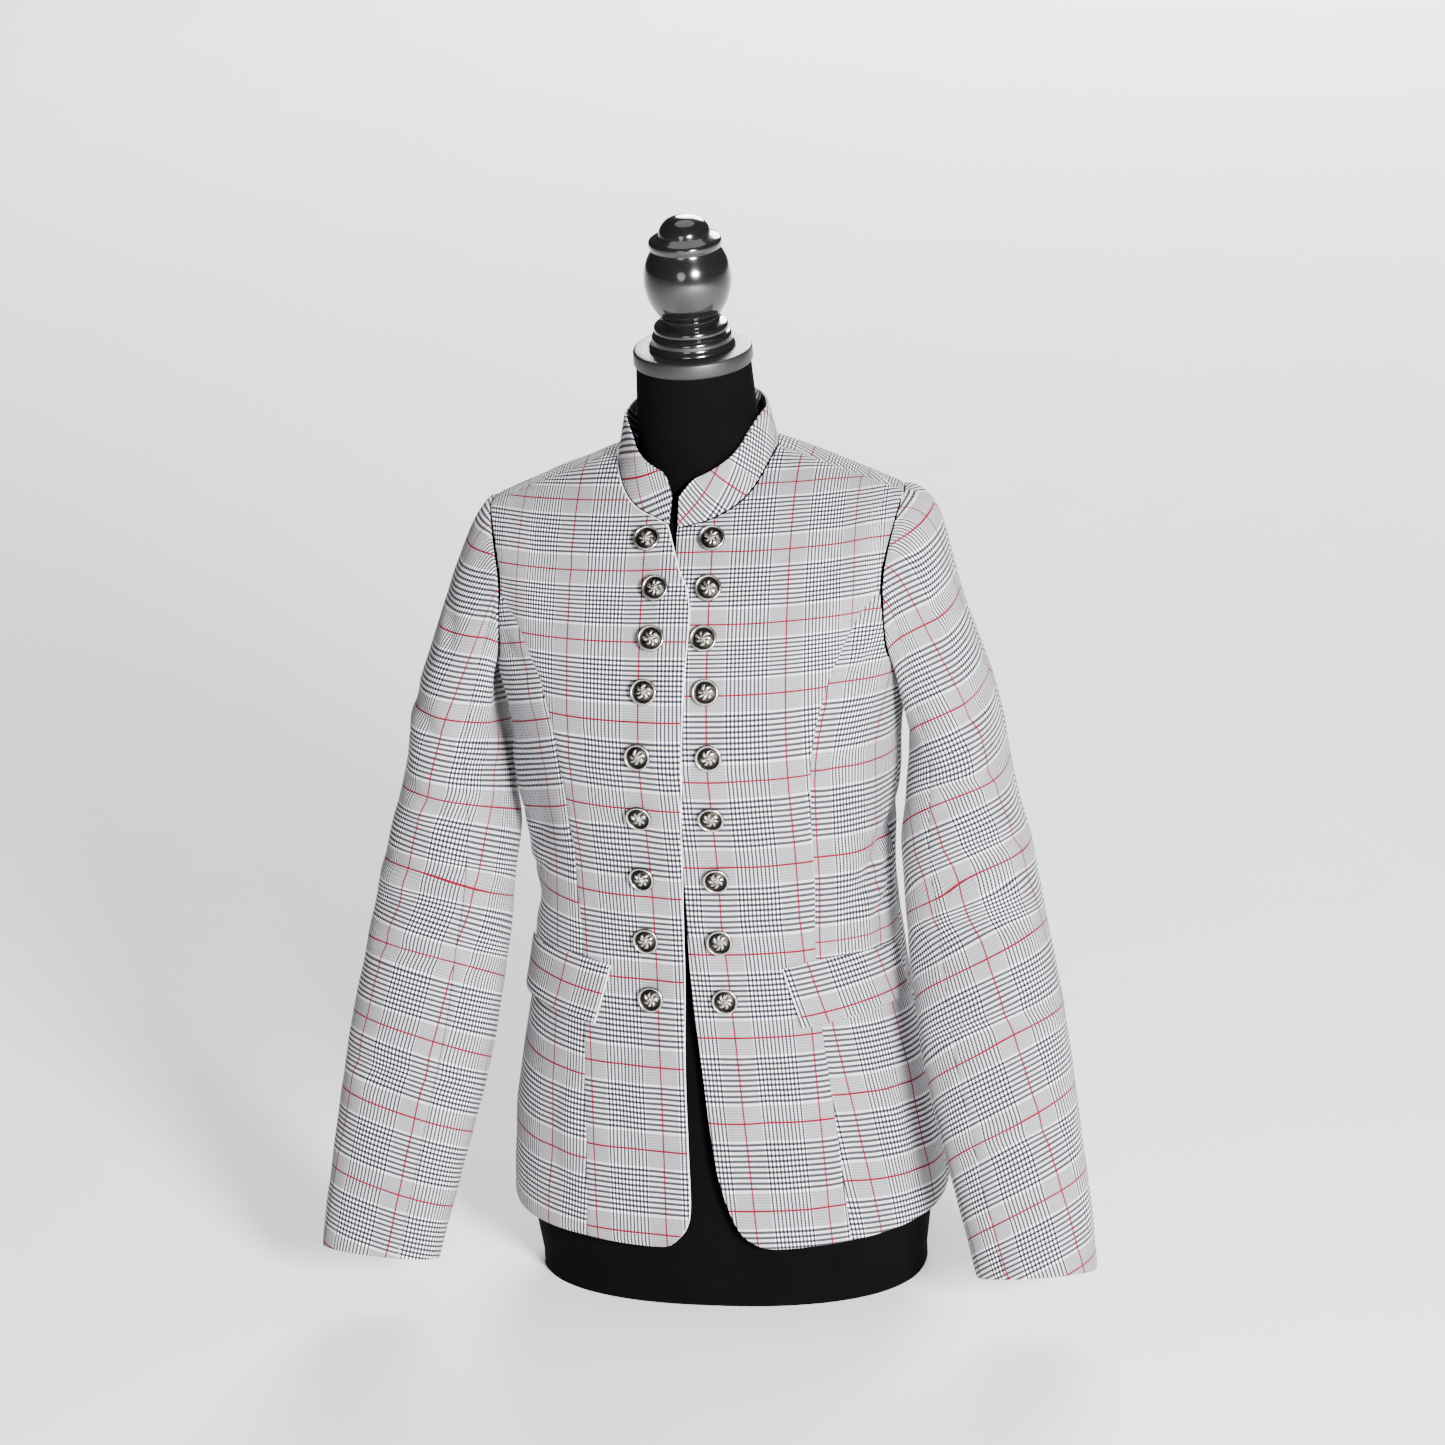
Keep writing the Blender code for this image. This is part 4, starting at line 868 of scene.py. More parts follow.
# Where the check lies on a sleeve: its red warps round the arm from the shoulder line towards the front on
# both panels, how far they lean for each metre down, how much higher its wefts are, how much they rise away
# from the outside of the arm, and how much closer they get for each metre down
SleeveLie = namedtuple("SleeveLie", "upper_red under_red lean higher rise closer")
SLEEVE_CHECK_LIE = {
    -1: SleeveLie(0.076, 0.136, -0.13, 0.028, -0.12, 0.10),
    1: SleeveLie(0.049, 0.141, -0.20, -0.018, -0.34, 0.055),
}
CLOSER_FROM = 0.10


def lying_on_arm(rows):
    """Distances round the arm from its outer line and down it from the top ring, for rings of points."""
    middle = rows[CAP_STEPS:].mean(axis=1)
    down = unit(np.gradient(middle, axis=0))
    past_middle = ((rows[CAP_STEPS:] - middle[:, None]) * down[:, None]).sum(axis=2)
    tube_way = way_along(middle, 0)[:, None] + past_middle
    cap_steps = np.linalg.norm(np.diff(rows[:CAP_STEPS + 1], axis=0), axis=2)
    cap_way = tube_way[0] - cap_steps[::-1].cumsum(axis=0)[::-1]
    round_way = way_along(np.concatenate([rows, rows[:, :1]], axis=1), 1)
    round_way[:CAP_STEPS] = round_way[CAP_STEPS]
    return round_way, np.concatenate([cap_way, tube_way])


def build_sleeve(side, word, material):
    """Upper sleeve round the outside of the arm, under sleeve between the two seams."""
    rows = sleeve_surface(side)
    count = rows.shape[1]
    above, below = np.roll(rows, 1, axis=0), np.roll(rows, -1, axis=0)
    above[0], below[-1] = rows[0], rows[-1]
    normals = unit(np.cross(np.roll(rows, -1, axis=1) - np.roll(rows, 1, axis=1), below - above)) * side
    turn = np.broadcast_to(np.arange(count) / count, rows.shape[:2])
    z = rows[..., 2]
    dip = fold_depth(SLEEVE_FOLDS, side, turn, SLEEVE_ROUND, z)
    dip = dip + crease_depth(SLEEVE_CREASES, side, turn, SLEEVE_ROUND, z)
    dip = dip + unevenness(np.minimum(turn, 1 - turn) * SLEEVE_ROUND, z, side + SLEEVE_SEED)
    past_cap = smooth_step((np.arange(len(rows)) / CAP_STEPS - CAP_CALM) / CAP_CALM_BLEND)[:, None]
    rows = rows - normals * (dip * past_cap)[..., None]
    round_way, down_way = lying_on_arm(rows)
    lie = SLEEVE_CHECK_LIE[side]
    front, back = FRONT_SEAM * RING_STEPS, BACK_SEAM * RING_STEPS
    parts = (("upper", back - count, front, lie.upper_red), ("under", front, back, lie.under_red))
    for part, first, last, red_warp in parts:
        picks = np.arange(first, last + 1)
        outer, normal = rows[:, picks], normals[:, picks]
        inner = outer - normal * CLOTH
        outer = outer - normal * seam_roll(outer)[..., None]
        node = f"sleeve_{part}_{word}"
        reach = round_way[:, picks % count] - np.where(picks < 0, round_way[:, -1:], 0.0)
        down = down_way[:, picks]
        from_red = reach - red_warp - lie.lean * down
        down = down + lie.closer * np.maximum(down - CLOSER_FROM, 0.0)
        lengthwise = -lie.higher - down - lie.rise * np.abs(reach)
        cloth = np.stack([from_red * -side + WARP_RED_AT, lengthwise + WEFT_RED_AT], axis=-1)
        thing = shell(f"cloth_{node}", outer, inner, cloth, material, node, 2 * SEAM_GAP)


def build_collar(material):
    """A stand collar that rises from the neckline and leans in."""
    halves = {}
    for side in (1, -1):
        lines = seam_lines(side)
        line = np.concatenate([lines["front_neck"], lines["back_neck"][-2::-1]])
        angle, level, points, normals = laid(line, side)
        halves[side] = points + normals * (lap_lift(angle, level, side) * COLLAR_LAP_SHARE)[:, None]
    foot = np.concatenate([halves[-1], halves[1][-2::-1]])
    number = np.arange(len(foot))
    from_end = np.minimum(number, number[::-1]) / (number[-1] / 2)
    lean = np.radians(blend(COLLAR_LEAN_FRONT, COLLAR_LEAN_BACK, from_end**COLLAR_LEAN_POWER))[:, None]
    inward = unit(np.array(NECK_MIDDLE) - foot * np.array([1, 1, 0]))
    upright = np.array([0.0, 0.0, 1.0])
    up = upright * np.cos(lean) + inward * np.sin(lean)
    away = inward * np.cos(lean) - upright * np.sin(lean)
    corner = COLLAR_CORNER * np.maximum(0.0, 1 - from_end / COLLAR_CORNER_REACH) ** 2
    dip = COLLAR_SIDE_DIP * bell((from_end - COLLAR_SIDE) / COLLAR_SIDE_REACH)
    share = steps(COLLAR_STEPS)[:, None]
    heights = (COLLAR_HEIGHT - corner - dip) * share
    wave = COLLAR_WAVE * np.sin(number * COLLAR_WAVE_STEP) * share
    outer = foot + up * (COLLAR_STAND_OFF + heights)[..., None] + away * wave[..., None]
    inner = outer + away * COLLAR_CLOTH
    outer = outer + away * seam_roll(outer)[..., None]
    length = way_along(foot, 0)
    s = np.broadcast_to(length - length[-1] / 2, heights.shape)
    cos, sin = math.cos(COLLAR_BIAS), math.sin(COLLAR_BIAS)
    cloth = np.stack([s * cos - heights * sin, s * sin + heights * cos], axis=-1)
    thing = shell("cloth_collar", outer, inner, cloth, material, "collar")


FlapLie = namedtuple("FlapLie", "across up")
FLAP_CHECK_LIE = {-1: FlapLie(0.028, 0.030), 1: FlapLie(0.028, 0.047)}


def build_flap(side, word, material):
    """A pocket flap that lies on the body and stands off a little at its lower edge."""
    columns, rows = steps(FLAP_COLUMNS), steps(FLAP_ROWS)
    top, bottom = (evenly(places(line), columns, side) for line in (FLAP_TOP, FLAP_BOTTOM))
    left, right = (evenly([bottom[end], top[end]], rows, side) for end in (0, -1))
    angle, _, bare, normals = laid(patch(bottom, top, left, right, columns, rows), side)
    dip = fold_depth(BODY_FOLDS, side, angle, DEGREE_LENGTH, bare[..., 2])
    lift = FLAP_STAND_OFF + FLAP_FLARE * (1 - rows)[:, None] - dip
    inner = bare + normals * lift[..., None]
    outer = bare + normals * (lift + FLAP_CLOTH - seam_roll(bare, FLAP_ROLL_REACH, FLAP_ROLL))[..., None]
    across, up = way_along(bare, 1), way_along(bare, 0)
    lie = FLAP_CHECK_LIE[side]
    # The third value puts the painted highlight on the flap's edge at its first column, on the centre side
    cloth = np.stack([across * side + lie.across, up + lie.up, nearness(across)], axis=-1)
    thing = shell(f"cloth_flap_{word}", outer, inner, cloth, material, f"flap_{word}")


# Buttons: two columns of nine, from the top down
ButtonRow = namedtuple("ButtonRow", "z right_x left_x seat")
BUTTON_ROWS = [
    ButtonRow(0.6465, 0.0290, 0.0235, 0.0003), ButtonRow(0.6125, 0.0190, 0.0230, 0.0003),
    ButtonRow(0.5770, 0.0205, 0.0210, 0.0003), ButtonRow(0.5380, 0.0255, 0.0235, 0.0003),
    ButtonRow(0.4880, 0.0310, 0.0255, 0.0003), ButtonRow(0.4350, 0.0345, 0.0235, 0.0003),
    ButtonRow(0.3785, 0.0375, 0.0225, 0.0008), ButtonRow(0.3235, 0.0380, 0.0220, 0.0008),
    ButtonRow(0.2735, 0.0360, 0.0245, 0.0008),
]
BUTTON_TILT = math.radians(5)
BUTTON_FACE = [
    (0.0, 0.0060), (0.0020, 0.0060), (0.0040, 0.0057), (0.0058, 0.0050), (0.0068, 0.0043),
    (0.0074, 0.0040), (0.0079, 0.0042), (0.0083, 0.0052), (0.0088, 0.0057), (0.0094, 0.0055),
    (0.0099, 0.0047), (0.0100, 0.0040),
    (0.0097, 0.0031), (0.0090, 0.0026), (0.0060, 0.0024), (0.0028, 0.0022), (0.0026, 0.0012), (0.0026, 0.0),
    (0.0, 0.0),
]
BUTTON_SPREAD = 1.08
BUTTON_GROOVE_ROW = 6
BUTTON_SINK = 0.0006
BUTTON_ROUND = 72
# Rings of points from the middle of the face to its rim, and on to the back, as ways along the profile
FACE_RINGS = 44
FACE_END = 0.0085
BACK_RINGS = 20
BACK_START = 0.0088
# How the buttons differ: their tips and turns step round by these angles, and they tip by a share of the tilt
TIP_STEP = 2.4
SPIN_STEP = 1.7
TIP_SHARES = (0.4, 0.6)
TIP_EASE = 0.5

# Raised pattern: rings of shapes, at shares of its radius
RELIEF = 0.0012
RELIEF_RADIUS = 0.0068
RELIEF_END = 0.0074
RELIEF_BLEND = 0.0010
Motif = namedtuple("Motif", "at reach height count power")
PETALS = Motif(0.24, 0.13, 1.0, 6, 0.6)
BUD = Motif(0.0, 0.11, 1.0, 0, 1.0)
LEAVES = Motif(0.66, 0.24, 1.0, 1, 0.5)
VEINS = Motif(0.70, 0.16, 0.45, 2, 1.0)
BEADS = Motif(0.97, 0.05, 0.5, 24, 1.0)
LEAF_COUNT = 7
LEAF_SWIRL = 5.0
Sway = namedtuple("Sway", "size count shift")
LEAF_DRIFT = Sway(0.9, 2, 0.7)
LEAF_FADE = Sway(0.22, 3, 1.1)


def raised(motif, r, turn):
    """Height of one ring of shapes."""
    shape = np.maximum(0.0, np.cos(turn * motif.count)) ** motif.power
    return motif.height * shape * bell((r - motif.at) / motif.reach)


def leaf_relief(radius, turn):
    """Height of a ring of raised leaves round a small rosette, 0 to 1; no leaf is quite like the next."""
    r = radius / RELIEF_RADIUS
    drift = LEAF_DRIFT.size * np.sin(LEAF_DRIFT.count * turn + LEAF_DRIFT.shift)
    swirl = turn * LEAF_COUNT + LEAF_SWIRL * r + drift
    uneven = 1 - LEAF_FADE.size + LEAF_FADE.size * np.cos(LEAF_FADE.count * turn + LEAF_FADE.shift)
    leaves = uneven * raised(LEAVES, r, swirl) - raised(VEINS, r, swirl)
    return np.maximum.reduce([raised(PETALS, r, turn), raised(BUD, r, turn), leaves, raised(BEADS, r, turn)])


def tube(rings, count):
    """The numbers of the points of closed rings, and the faces between them."""
    index = np.arange(rings * count).reshape(rings, count)
    after = np.roll(index, -1, axis=1)
    return index, np.stack([index[:-1], after[:-1], after[1:], index[1:]], axis=-1).reshape(-1, 4)


def button_mesh(material):
    """A domed metal button with a rim, a groove and a raised rosette of leaves."""
    profile = np.array(BUTTON_FACE)
    lengths = way_along(profile, 0)
    at = np.concatenate([
        np.linspace(0, FACE_END, FACE_RINGS), np.linspace(BACK_START, lengths[-1], BACK_RINGS)])[1:-1, None]
    radius, height = (np.interp(at, lengths, profile[:, column]) for column in (0, 1))
    turn = 2 * np.pi * np.arange(BUTTON_ROUND) / BUTTON_ROUND
    facing_up = at < lengths[BUTTON_GROOVE_ROW]
    pattern = leaf_relief(radius, turn) * facing_up * smooth_step((RELIEF_END - radius) / RELIEF_BLEND)
    radius = radius * BUTTON_SPREAD
    rings = np.stack([
        radius * np.cos(turn), radius * np.sin(turn),
        height - BUTTON_SINK * facing_up + RELIEF * pattern], axis=-1)
    points = np.concatenate([rings.reshape(-1, 3), [[0, 0, profile[0, 1] - BUTTON_SINK + RELIEF], [0, 0, 0]]])
    index, faces = tube(len(rings), BUTTON_ROUND)
    index, faces = index.tolist(), faces[:, [0, 3, 2, 1]].tolist()
    top, bottom = len(points) - 2, len(points) - 1
    for k in range(BUTTON_ROUND):
        after = (k + 1) % BUTTON_ROUND
        faces += [(top, index[0][k], index[0][after]), (bottom, index[-1][after], index[-1][k])]
    mesh = new_mesh("button", points.tolist(), faces, material)
    mesh.shade_smooth()
    return mesh


def build_buttons(material):
    mesh = button_mesh(material)
    for side, word in WORDS.items():
        for n, row in enumerate(BUTTON_ROWS, start=1):
            spot = np.array(place(row.left_x if side > 0 else row.right_x, row.z))
            angle, level, point, normal = laid(spot, side)
            dip = fold_depth(BODY_FOLDS, side, angle, DEGREE_LENGTH, point[2])
            normal = Vector(normal)
            point = Vector(point) + normal * float(lap_lift(angle, level, side) - dip + row.seat)
            turn = TIP_STEP * n + side
            tilt = BUTTON_TILT * (TIP_SHARES[0] + TIP_SHARES[1] * math.sin(n))
            tip = Vector((math.cos(turn), math.sin(turn), 0)) * math.sin(tilt)
            aim = (Vector((0, 0, 1)) + tip * TIP_EASE).to_track_quat("Z", "Y")
            spin = Matrix.Rotation(SPIN_STEP * n + side, 4, "Z")
            thing = new_object(f"silver_button_{word}_{n}", mesh)
            facing = normal.to_track_quat("Z", "Y") @ aim
            thing.matrix_world = Matrix.Translation(point) @ facing.to_matrix().to_4x4() @ spin
            stand_in(thing, f"button_{word}_{n}")


# Dress form
FORM_CLEARANCE = 0.0007
FORM_SLACK = 0.006
FORM_HEM_SLACK = 0.013
FORM_ARM_CUT = 0.014
FORM_ARM_CUT_POWER = 8
FORM_ARM_CUT_LEVEL = 0.6
SHOULDER_EASE_LEVEL = 0.35
SHOULDER_EASE_POWER = 0.6
FORM_QUARTER = 30
FORM_RINGS = 76
FORM_LEVELS = [
    -1.12, -1.0, -0.90, -0.78, -0.66, -0.54, -0.42, -0.30, -0.20, -0.10, 0.0,
    0.12, 0.25, 0.38, 0.50, 0.62, 0.73, 0.83, 0.91, 0.965,
]
NECK_LEAN = math.radians(6)
NECK_FOOT = Vector((0.0025, 0.011, 0.654))
NECK_DEPTH_SHARE = 0.88
NECK_PROFILE = [
    (0.0, 0.1240), (0.0462, 0.1240), (0.0475, 0.100), (0.0488, 0.075), (0.0502, 0.050),
    (0.0520, 0.025), (0.0540, 0.000), (0.0500, -0.060), (0.0, -0.060),
]
NECK_CAP_PROFILE = [
    (0.0, 0.1368), (0.0400, 0.1368), (0.0455, 0.1368), (0.0466, 0.1366), (0.0474, 0.1360), (0.0478, 0.1350),
    (0.0478, 0.1260), (0.0474, 0.1249), (0.0466, 0.1243), (0.0, 0.1243),
]
FINIAL_FOOT = 0.1371
FINIAL_PROFILE = [
    (0.0, 0.1080), (0.0080, 0.1072), (0.0150, 0.1040), (0.0195, 0.0985), (0.0208, 0.0935),
    (0.0225, 0.0925), (0.0283, 0.0895), (0.0293, 0.0860), (0.0280, 0.0825), (0.0288, 0.0800),
    (0.0332, 0.0700), (0.0350, 0.0590), (0.0345, 0.0500), (0.0315, 0.0390), (0.0260, 0.0290),
    (0.0222, 0.0240), (0.0240, 0.0215), (0.0290, 0.0190), (0.0300, 0.0150), (0.0285, 0.0130),
    (0.0318, 0.0105), (0.0325, 0.0050), (0.0325, 0.0), (0.0, 0.0),
]
FINIAL_CREASES = (0.0935, 0.0825, 0.0240, 0.0130)
TURNED_ROUND = 96
MERGE_DISTANCE = 0.00002


def rounded(profile, sharp, spans=4):
    """A profile with a smooth curve between its points, except at the heights named sharp."""
    points = [Vector((r, z)) for r, z in profile]
    result = []
    for i in range(len(points) - 1):
        b, c = points[i], points[i + 1]
        a = b if i == 0 or round(b.y, 4) in sharp else points[i - 1]
        d = c if i + 2 >= len(points) or round(c.y, 4) in sharp else points[i + 2]
        for k in range(spans):
            spot = curve(a, b, c, d, k / spans)
            result.append((max(spot.x, 0.0), spot.y))
    result.append(tuple(points[-1]))
    return result


def turned(name, profile, material, shape):
    """A solid of revolution about Z from a profile of (radius, height), top to bottom."""
    points, edges = [(r, 0.0, z) for r, z in profile], [(i, i + 1) for i in range(len(profile) - 1)]
    thing = new_object(name, new_mesh(name, points, [], material, edges))
    screw = thing.modifiers.new("Screw", "SCREW")
    screw.steps = TURNED_ROUND
    screw.render_steps = TURNED_ROUND
    screw.use_merge_vertices = True
    screw.merge_threshold = MERGE_DISTANCE
    screw.use_smooth_shade = True
    thing.matrix_world = shape
    return thing


def applied(thing):
    """The object with its modifiers made part of its mesh, in the row's frame."""
    shown = thing.evaluated_get(bpy.context.evaluated_depsgraph_get())
    mesh = bpy.data.meshes.new_from_object(shown)
    mesh.transform(thing.matrix_world)
    thing.modifiers.clear()
    thing.data = mesh
    thing.matrix_world = Matrix.Identity(4)
    mesh.set_sharp_from_angle(angle=math.radians(45))
    return thing


def form_points(angle, level, side):
    """Points of the form's torso: the body surface moved in, least on the shoulders, where cloth rests."""
    low = blend(FORM_SLACK, FORM_HEM_SLACK, smooth_step(-level))
    below_seam = np.minimum(1.0, (1 - np.clip(level, 0, 1)) / SHOULDER_EASE_LEVEL)
    high = blend(FORM_CLEARANCE, FORM_SLACK, below_seam**SHOULDER_EASE_POWER)
    slack = np.where(level <= 0, low, high)
    inwards = surface_normals(angle, level, side) * (CLOTH + slack)[..., None]
    points = bare_points(angle, level, side) - inwards
    outwards = (np.abs(points[..., 0]) / SHOULDER_TIP[0]) ** FORM_ARM_CUT_POWER
    points[..., 0] -= side * FORM_ARM_CUT * outwards * smooth_step(level / FORM_ARM_CUT_LEVEL)
    return points


def neck_place():
    """The neck's own frame: its foot, leaning forward."""
    return Matrix.Translation(NECK_FOOT) @ Matrix.Rotation(NECK_LEAN, 4, "X")


def torso_mesh(material):
    """Rings from a flat foot up to the shoulder line, which closes the top."""
    quarter, half = FORM_QUARTER, 2 * FORM_QUARTER
    levels = np.interp(steps(FORM_RINGS), steps(len(FORM_LEVELS) - 1), FORM_LEVELS)[:, None]
    angles = np.linspace(0, 180, half + 1)[None]
    left, right = form_points(angles, levels, 1), form_points(angles[:, -2:0:-1], levels, -1)
    rings = np.concatenate([left, right], axis=1)
    rings = np.concatenate([rings[:1] * np.array([1, 1, 0]), rings])
    count = rings.shape[1]
    ridge = np.concatenate([
        form_points(90 - 90 * steps(quarter), 1.0, 1), form_points(90 * steps(quarter)[1:], 1.0, -1)])
    index, faces = tube(len(rings), count)
    faces = faces.tolist() + [index[0, ::-1].tolist()]
    k = np.arange(count)
    over = np.where(k <= half, np.abs(quarter - k), half - np.abs(quarter - (k - half))) + index.size
    for n in range(count):
        m = (n + 1) % count
        faces.append([int(v) for v in dict.fromkeys([index[-1, n], index[-1, m], over[m], over[n]])])
    points = np.concatenate([rings.reshape(-1, 3), ridge])
    mesh = new_mesh("jersey_torso", points.tolist(), faces, material)
    face_outwards(mesh)
    return mesh


def build_form(jersey, satin, lacquer):
    """Torso with its neck, the disc that caps the neck, and the turned finial."""
    torso = new_object("jersey_torso", torso_mesh(jersey))
    leaned = Matrix.Diagonal((1.0, NECK_DEPTH_SHARE, 1.0, 1.0))
    neck_ends = (NECK_PROFILE[0][1], NECK_PROFILE[-1][1])
    neck = turned("neck_column", rounded(NECK_PROFILE, neck_ends), jersey, neck_place() @ leaned)
    join = torso.modifiers.new("Neck", "BOOLEAN")
    join.operation = "UNION"
    join.solver = "EXACT"
    join.object = neck
    applied(torso)
    smoothed(torso.data, sharp_from=50)
    bpy.data.objects.remove(neck, do_unlink=True)
    cap = applied(turned("satin_cap", NECK_CAP_PROFILE, satin, neck_place()))
    on_cap = neck_place() @ Matrix.Translation((0, 0, FINIAL_FOOT))
    wood = applied(turned("lacquered_finial", rounded(FINIAL_PROFILE, FINIAL_CREASES), lacquer, on_cap))
    stand_in(torso, "form_torso")
    stand_in(cap, "neck_cap")
    stand_in(wood, "finial")


class Graph:
    """Adds nodes to a material and joins them."""

    def __init__(self, name):
        self.material = bpy.data.materials.new(name)
        self.material.use_nodes = True
        self.tree = self.material.node_tree
        self.shader = self.tree.nodes["Principled BSDF"]
        self.place = self.node("ShaderNodeTexCoord").outputs["Object"]

    def node(self, kind, **settings):
        node = self.tree.nodes.new(kind)
        for key, value in settings.items():
            setattr(node, key, value)
        return node

    def put(self, value, socket):
        if isinstance(value, bpy.types.NodeSocket):
            self.tree.links.new(value, socket)
        else:
            socket.default_value = value

    def maths(self, operation, *values, clamp=False):
        node = self.node("ShaderNodeMath", operation=operation, use_clamp=clamp)
        for value, socket in zip(values, node.inputs):
            self.put(value, socket)
        return node.outputs[0]

    def blend(self, a, b, share):
        return self.maths("MULTIPLY_ADD", share, self.maths("SUBTRACT", b, a), a)

    def spread(self, value, low, spread):
        """A value from 0 to 1, moved to run from low over a spread."""
        return self.maths("MULTIPLY_ADD", value, spread, low)

    def mix(self, factor, a, b, kind="MIX"):
        node = self.node("ShaderNodeMix", data_type="RGBA", blend_type=kind)
        self.put(factor, node.inputs["Factor"])
        for value, name in ((a, "A"), (b, "B")):
            socket = next(s for s in node.inputs if s.name == name and s.type == "RGBA")
            self.put(value if isinstance(value, bpy.types.NodeSocket) else (*value, 1.0), socket)
        return next(s for s in node.outputs if s.type == "RGBA")

    def noise(self, vector, scale, detail=2.0):
        node = self.node("ShaderNodeTexNoise")
        self.put(vector, node.inputs["Vector"])
        node.inputs["Scale"].default_value = scale
        node.inputs["Detail"].default_value = detail
        return node.outputs["Fac"]

    def split(self, vector):
        node = self.node("ShaderNodeSeparateXYZ")
        self.put(vector, node.inputs[0])
        return node.outputs

    def combined(self, *values):
        node = self.node("ShaderNodeCombineXYZ")
        for value, socket in zip(values, node.inputs):
            self.put(value, socket)
        return node.outputs[0]

    def uv(self, name):
        return self.node("ShaderNodeUVMap", uv_map=name).outputs["UV"]

    def ribs(self, place, pitch):
        """Round ribs, one to each pitch."""
        return self.maths("ABSOLUTE", self.maths("SINE", self.maths("MULTIPLY", place, math.pi / pitch)))

    def surface(self, **values):
        """Give the shader its values, which are named as its sockets are, with _ for a space."""
        for name, value in values.items():
            self.put(value, self.shader.inputs[name.replace("_", " ")])

    def bump(self, height, strength, distance):
        node = self.node("ShaderNodeBump")
        self.put(height, node.inputs["Height"])
        node.inputs["Strength"].default_value = strength
        node.inputs["Distance"].default_value = distance
        self.surface(Normal=node.outputs["Normal"])


def thread_shade(graph, thread, stripes):
    """How pale a numbered thread is, and whether it is red: bold stripes in a band, fine ones after it."""
    maths = graph.maths
    at = maths("FLOORED_MODULO", thread, float(stripes.repeat))
    in_band = maths("LESS_THAN", at, stripes.band - 0.5)
    from_edge = maths("SUBTRACT", at, float(stripes.edge))
    pale_stripe = maths("GREATER_THAN", maths("FLOORED_MODULO", from_edge, 2.0 * BOLD), BOLD - 0.5)
    pale_edge = maths("GREATER_THAN", from_edge, stripes.band - 2 * stripes.edge - 0.5)
    bold = maths("MAXIMUM", pale_stripe, pale_edge)
    fine_at = maths("FLOORED_MODULO", maths("SUBTRACT", at, float(stripes.band)), 2.0 * FINE)
    fine = graph.spread(maths("GREATER_THAN", fine_at, FINE - 0.5), FINE_DARK, FINE_LIGHT - FINE_DARK)
    middle = (stripes.band + stripes.repeat - stripes.red) // 2 + (stripes.red - 1) / 2
    from_middle = maths("ABSOLUTE", maths("SUBTRACT", at, middle))
    return graph.blend(fine, bold, in_band), maths("LESS_THAN", from_middle, stripes.red / 2)


def suiting_cloth():
    """Worsted glen check in a 2/2 twill with a red overcheck."""
    graph = Graph("suiting_glen_check")
    maths = graph.maths
    cloth = graph.uv("cloth")
    across, lengthwise = graph.split(cloth)[:2]
    warp = maths("FLOOR", maths("DIVIDE", across, WARP_PITCH))
    weft = maths("FLOOR", maths("DIVIDE", lengthwise, WEFT_PITCH))
    twill = maths("FLOORED_MODULO", maths("ADD", warp, weft), 2.0 * TWILL)
    warp_on_top = maths("LESS_THAN", twill, TWILL - 0.5)
    warp_shade, warp_red = thread_shade(graph, warp, WARP_STRIPES)
    weft_shade, weft_red = thread_shade(graph, weft, WEFT_STRIPES)
    top = graph.blend(weft_shade, warp_shade, warp_on_top)
    under = graph.blend(warp_shade, weft_shade, warp_on_top)
    shown = maths("MULTIPLY", top, graph.spread(under, 1 - SHOW_THROUGH, SHOW_THROUGH))
    colour = graph.mix(maths("MAXIMUM", warp_red, weft_red), graph.mix(shown, DARK, LIGHT), RED)
    # Painted highlight: close to a folded edge the colour is mixed towards pale, as where light catches the
    # fold
    folded = maths("GREATER_THAN", graph.split(graph.uv("edge"))[0], 1 - EDGE_HIGHLIGHT_WIDTH / EDGE_REACH)
    colour = graph.mix(maths("MULTIPLY", folded, EDGE_HIGHLIGHT_SHARE), colour, EDGE_HIGHLIGHT_COLOUR)
    per_thread = graph.node("ShaderNodeTexWhiteNoise", noise_dimensions="2D")
    graph.put(graph.combined(warp, weft), per_thread.inputs["Vector"])
    heather = graph.spread(per_thread.outputs["Value"], low=0.92, spread=0.16)
    cloudy = graph.spread(graph.noise(cloth, scale=34.0, detail=3.0), low=0.92, spread=0.16)
    shade = maths("MULTIPLY", heather, cloudy)
    graph.surface(
        Base_Color=graph.mix(1.0, colour, graph.combined(shade, shade, shade), "MULTIPLY"),
        Roughness=graph.spread(graph.noise(cloth, scale=220.0), low=0.76, spread=0.14),
        Sheen_Weight=0.05, Sheen_Roughness=0.5, Specular_IOR_Level=0.14)
    height = graph.blend(graph.ribs(lengthwise, WEFT_PITCH), graph.ribs(across, WARP_PITCH), warp_on_top)
    height = maths("ADD", height, graph.spread(graph.noise(cloth, scale=900.0), low=0.0, spread=0.6))
    graph.bump(height, strength=0.25, distance=0.00012)
    return graph.material


# Where the button's metal is bright: on what stands above the dome, out to the groove, and on the rim.
# Elsewhere it is dark: oxide in the recesses and the groove, and painted shade on the rim's outer side.
DOME_TOP = 0.0054
DOME_FALL = 19.0
DOME_BLEND = 0.0005
DOME_RADIUS = 0.0079
RIM_RADII = (0.0088, 0.0104)
WORN_OFF = -0.20
WORN_LEAST = 0.35


